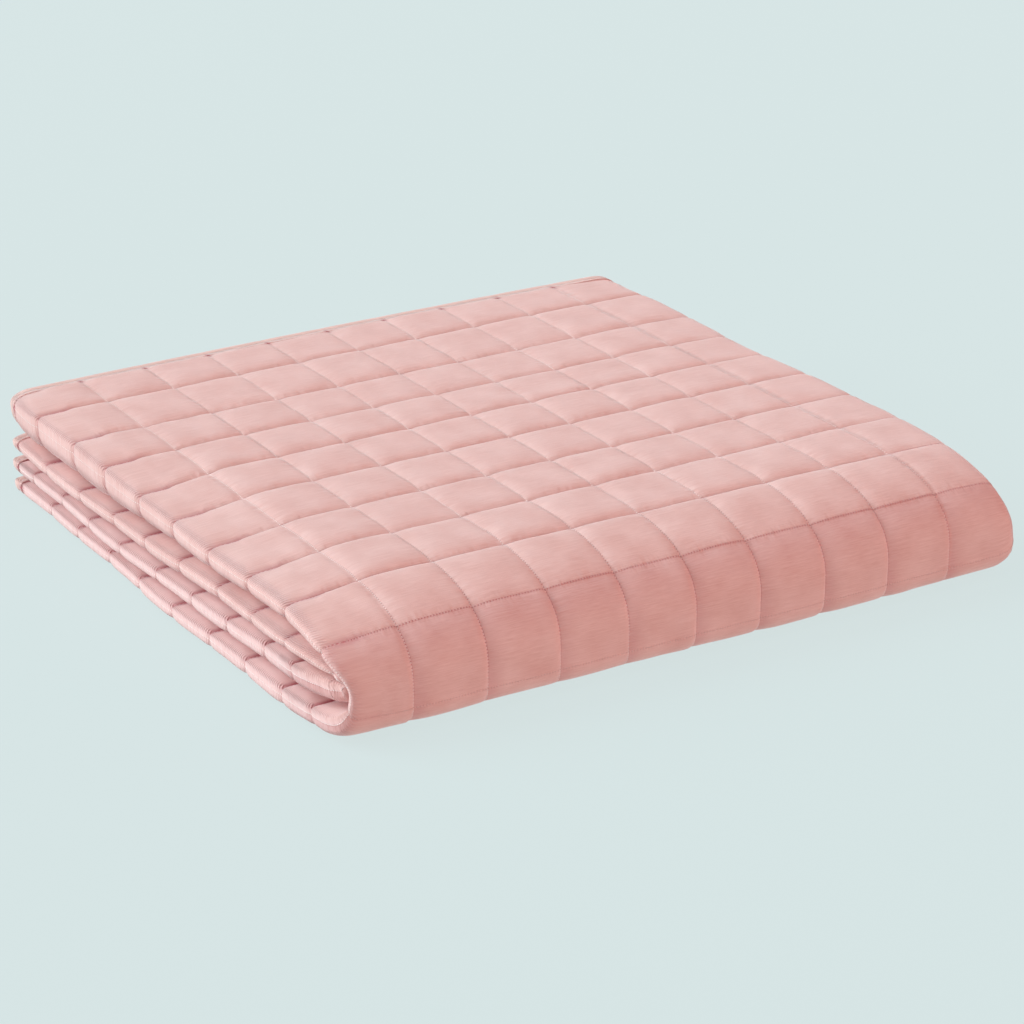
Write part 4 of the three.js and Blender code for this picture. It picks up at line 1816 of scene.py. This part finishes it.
@dataclass
class Studio:
    """The pale floor, the light and the surroundings."""

    floor_half: float = 40.0
    surroundings: Colour = (1.0, 0.92, 0.92)
    surroundings_strength: float = 0.32
    floor: PlainFinish = PlainFinish(
        "pale_floor", (0.050, 0.050, 0.050), (0.051, 0.051, 0.051), 0.5, 0.9, (0.615, 0.711, 0.710)
    )
    lamps: tuple[SoftLight, ...] = (
        SoftLight("key", -128.0, 32.0, 45.0, 3.2, (0.67, 0.95, 1.0)),
        SoftLight("side", -100.0, 2.0, 50.0, 2.0, (0.90, 0.92, 0.97)),
        SoftLight("top", 0.0, 68.0, 60.0, 0.9, (0.74, 0.92, 0.96)),
        SoftLight("front", 48.0, 8.0, 40.0, 1.3, (1.0, 0.22, 0.06)),
    )

    def build(self) -> None:
        """Makes the floor, the lamps and the surroundings, and sets plain output colours."""
        half = self.floor_half
        points = np.array([(-half, -half, 0), (half, -half, 0), (half, half, 0), (-half, half, 0)])
        floor = new_object("floor", points, [np.array([[0, 1, 2, 3]])])
        floor.data.materials.append(self.floor.material())
        for lamp in self.lamps:
            lamp.build()
        world = bpy.data.worlds.new("studio")
        world.use_nodes = True
        background = world.node_tree.nodes["Background"]
        background.inputs["Color"].default_value = (*self.surroundings, 1.0)
        background.inputs["Strength"].default_value = self.surroundings_strength
        bpy.context.scene.world = world
        bpy.context.scene.view_settings.view_transform = "Standard"


COTTON_TONES = Tones(
    light=(0.80, 0.48, 0.44),
    deep=(0.69, 0.355, 0.315),
    # painted shade, the dark red of the seams, creases and folds
    painted_shade=(0.42, 0.07, 0.09),
    # painted light, on the rolls and on the rims of the laps
    roll=(0.86, 0.54, 0.52),
    trim=(0.80, 0.49, 0.43),
)
BINDING_TONES = Tones(
    light=(0.70, 0.42, 0.37),
    deep=(0.60, 0.33, 0.29),
    # painted shade, the dark red of the seams, creases and folds
    painted_shade=(0.38, 0.09, 0.08),
    # painted light, on the rolls and on the rims of the laps
    roll=(0.75, 0.46, 0.42),
    trim=(0.80, 0.49, 0.43),
)
# painted light and shade: one thread in a lighter copy for the long seams, which run along the light, and a
# darker copy for the cross seams, which lie in shade
THREADS: dict[SeamWay, PlainFinish] = {
    SeamWay.LONG: PlainFinish("painted_lit_thread", (0.95, 0.74, 0.70), (0.90, 0.66, 0.62), 900.0, 0.6),
    SeamWay.CROSS: PlainFinish("thread", (0.80, 0.50, 0.46), (0.70, 0.40, 0.36), 900.0, 0.6),
}


def report(piece: bpy.types.Object) -> None:
    """Reports a piece's name and its count of triangles."""
    piece.data.calc_loop_triangles()
    log.info("%s: %d triangles", piece.name, len(piece.data.loop_triangles))


def main() -> None:
    logging.basicConfig(level=logging.INFO, format="%(name)s: %(message)s")
    quilt = Quilt()
    folding = Folding(quilt, Stack())
    PhotoCamera(folding).build()
    surface = QuiltedSurface(folding, Padding())
    cotton = CottonFinish("quilted_cotton", "quilted_cotton", COTTON_TONES, quilt)
    trim = CottonFinish("binding_cotton", "binding_cotton", BINDING_TONES, quilt)
    cloth = QuiltedCloth(surface, cotton)
    cover = cloth.build()
    cloth.dress(cover)
    report(cover)
    trim_material = trim.material()
    for edge in Edge:
        binding = Binding(folding, trim, edge)
        strip = binding.build()
        binding.dress(strip, trim_material)
        report(strip)
    for way, thread in THREADS.items():
        stitching = Stitching(surface, way)
        stitches = stitching.build()
        stitching.dress(stitches, thread.material())
        report(stitches)
    quilt.flat_size
    Studio().build()


if __name__ == "__main__":
    main()
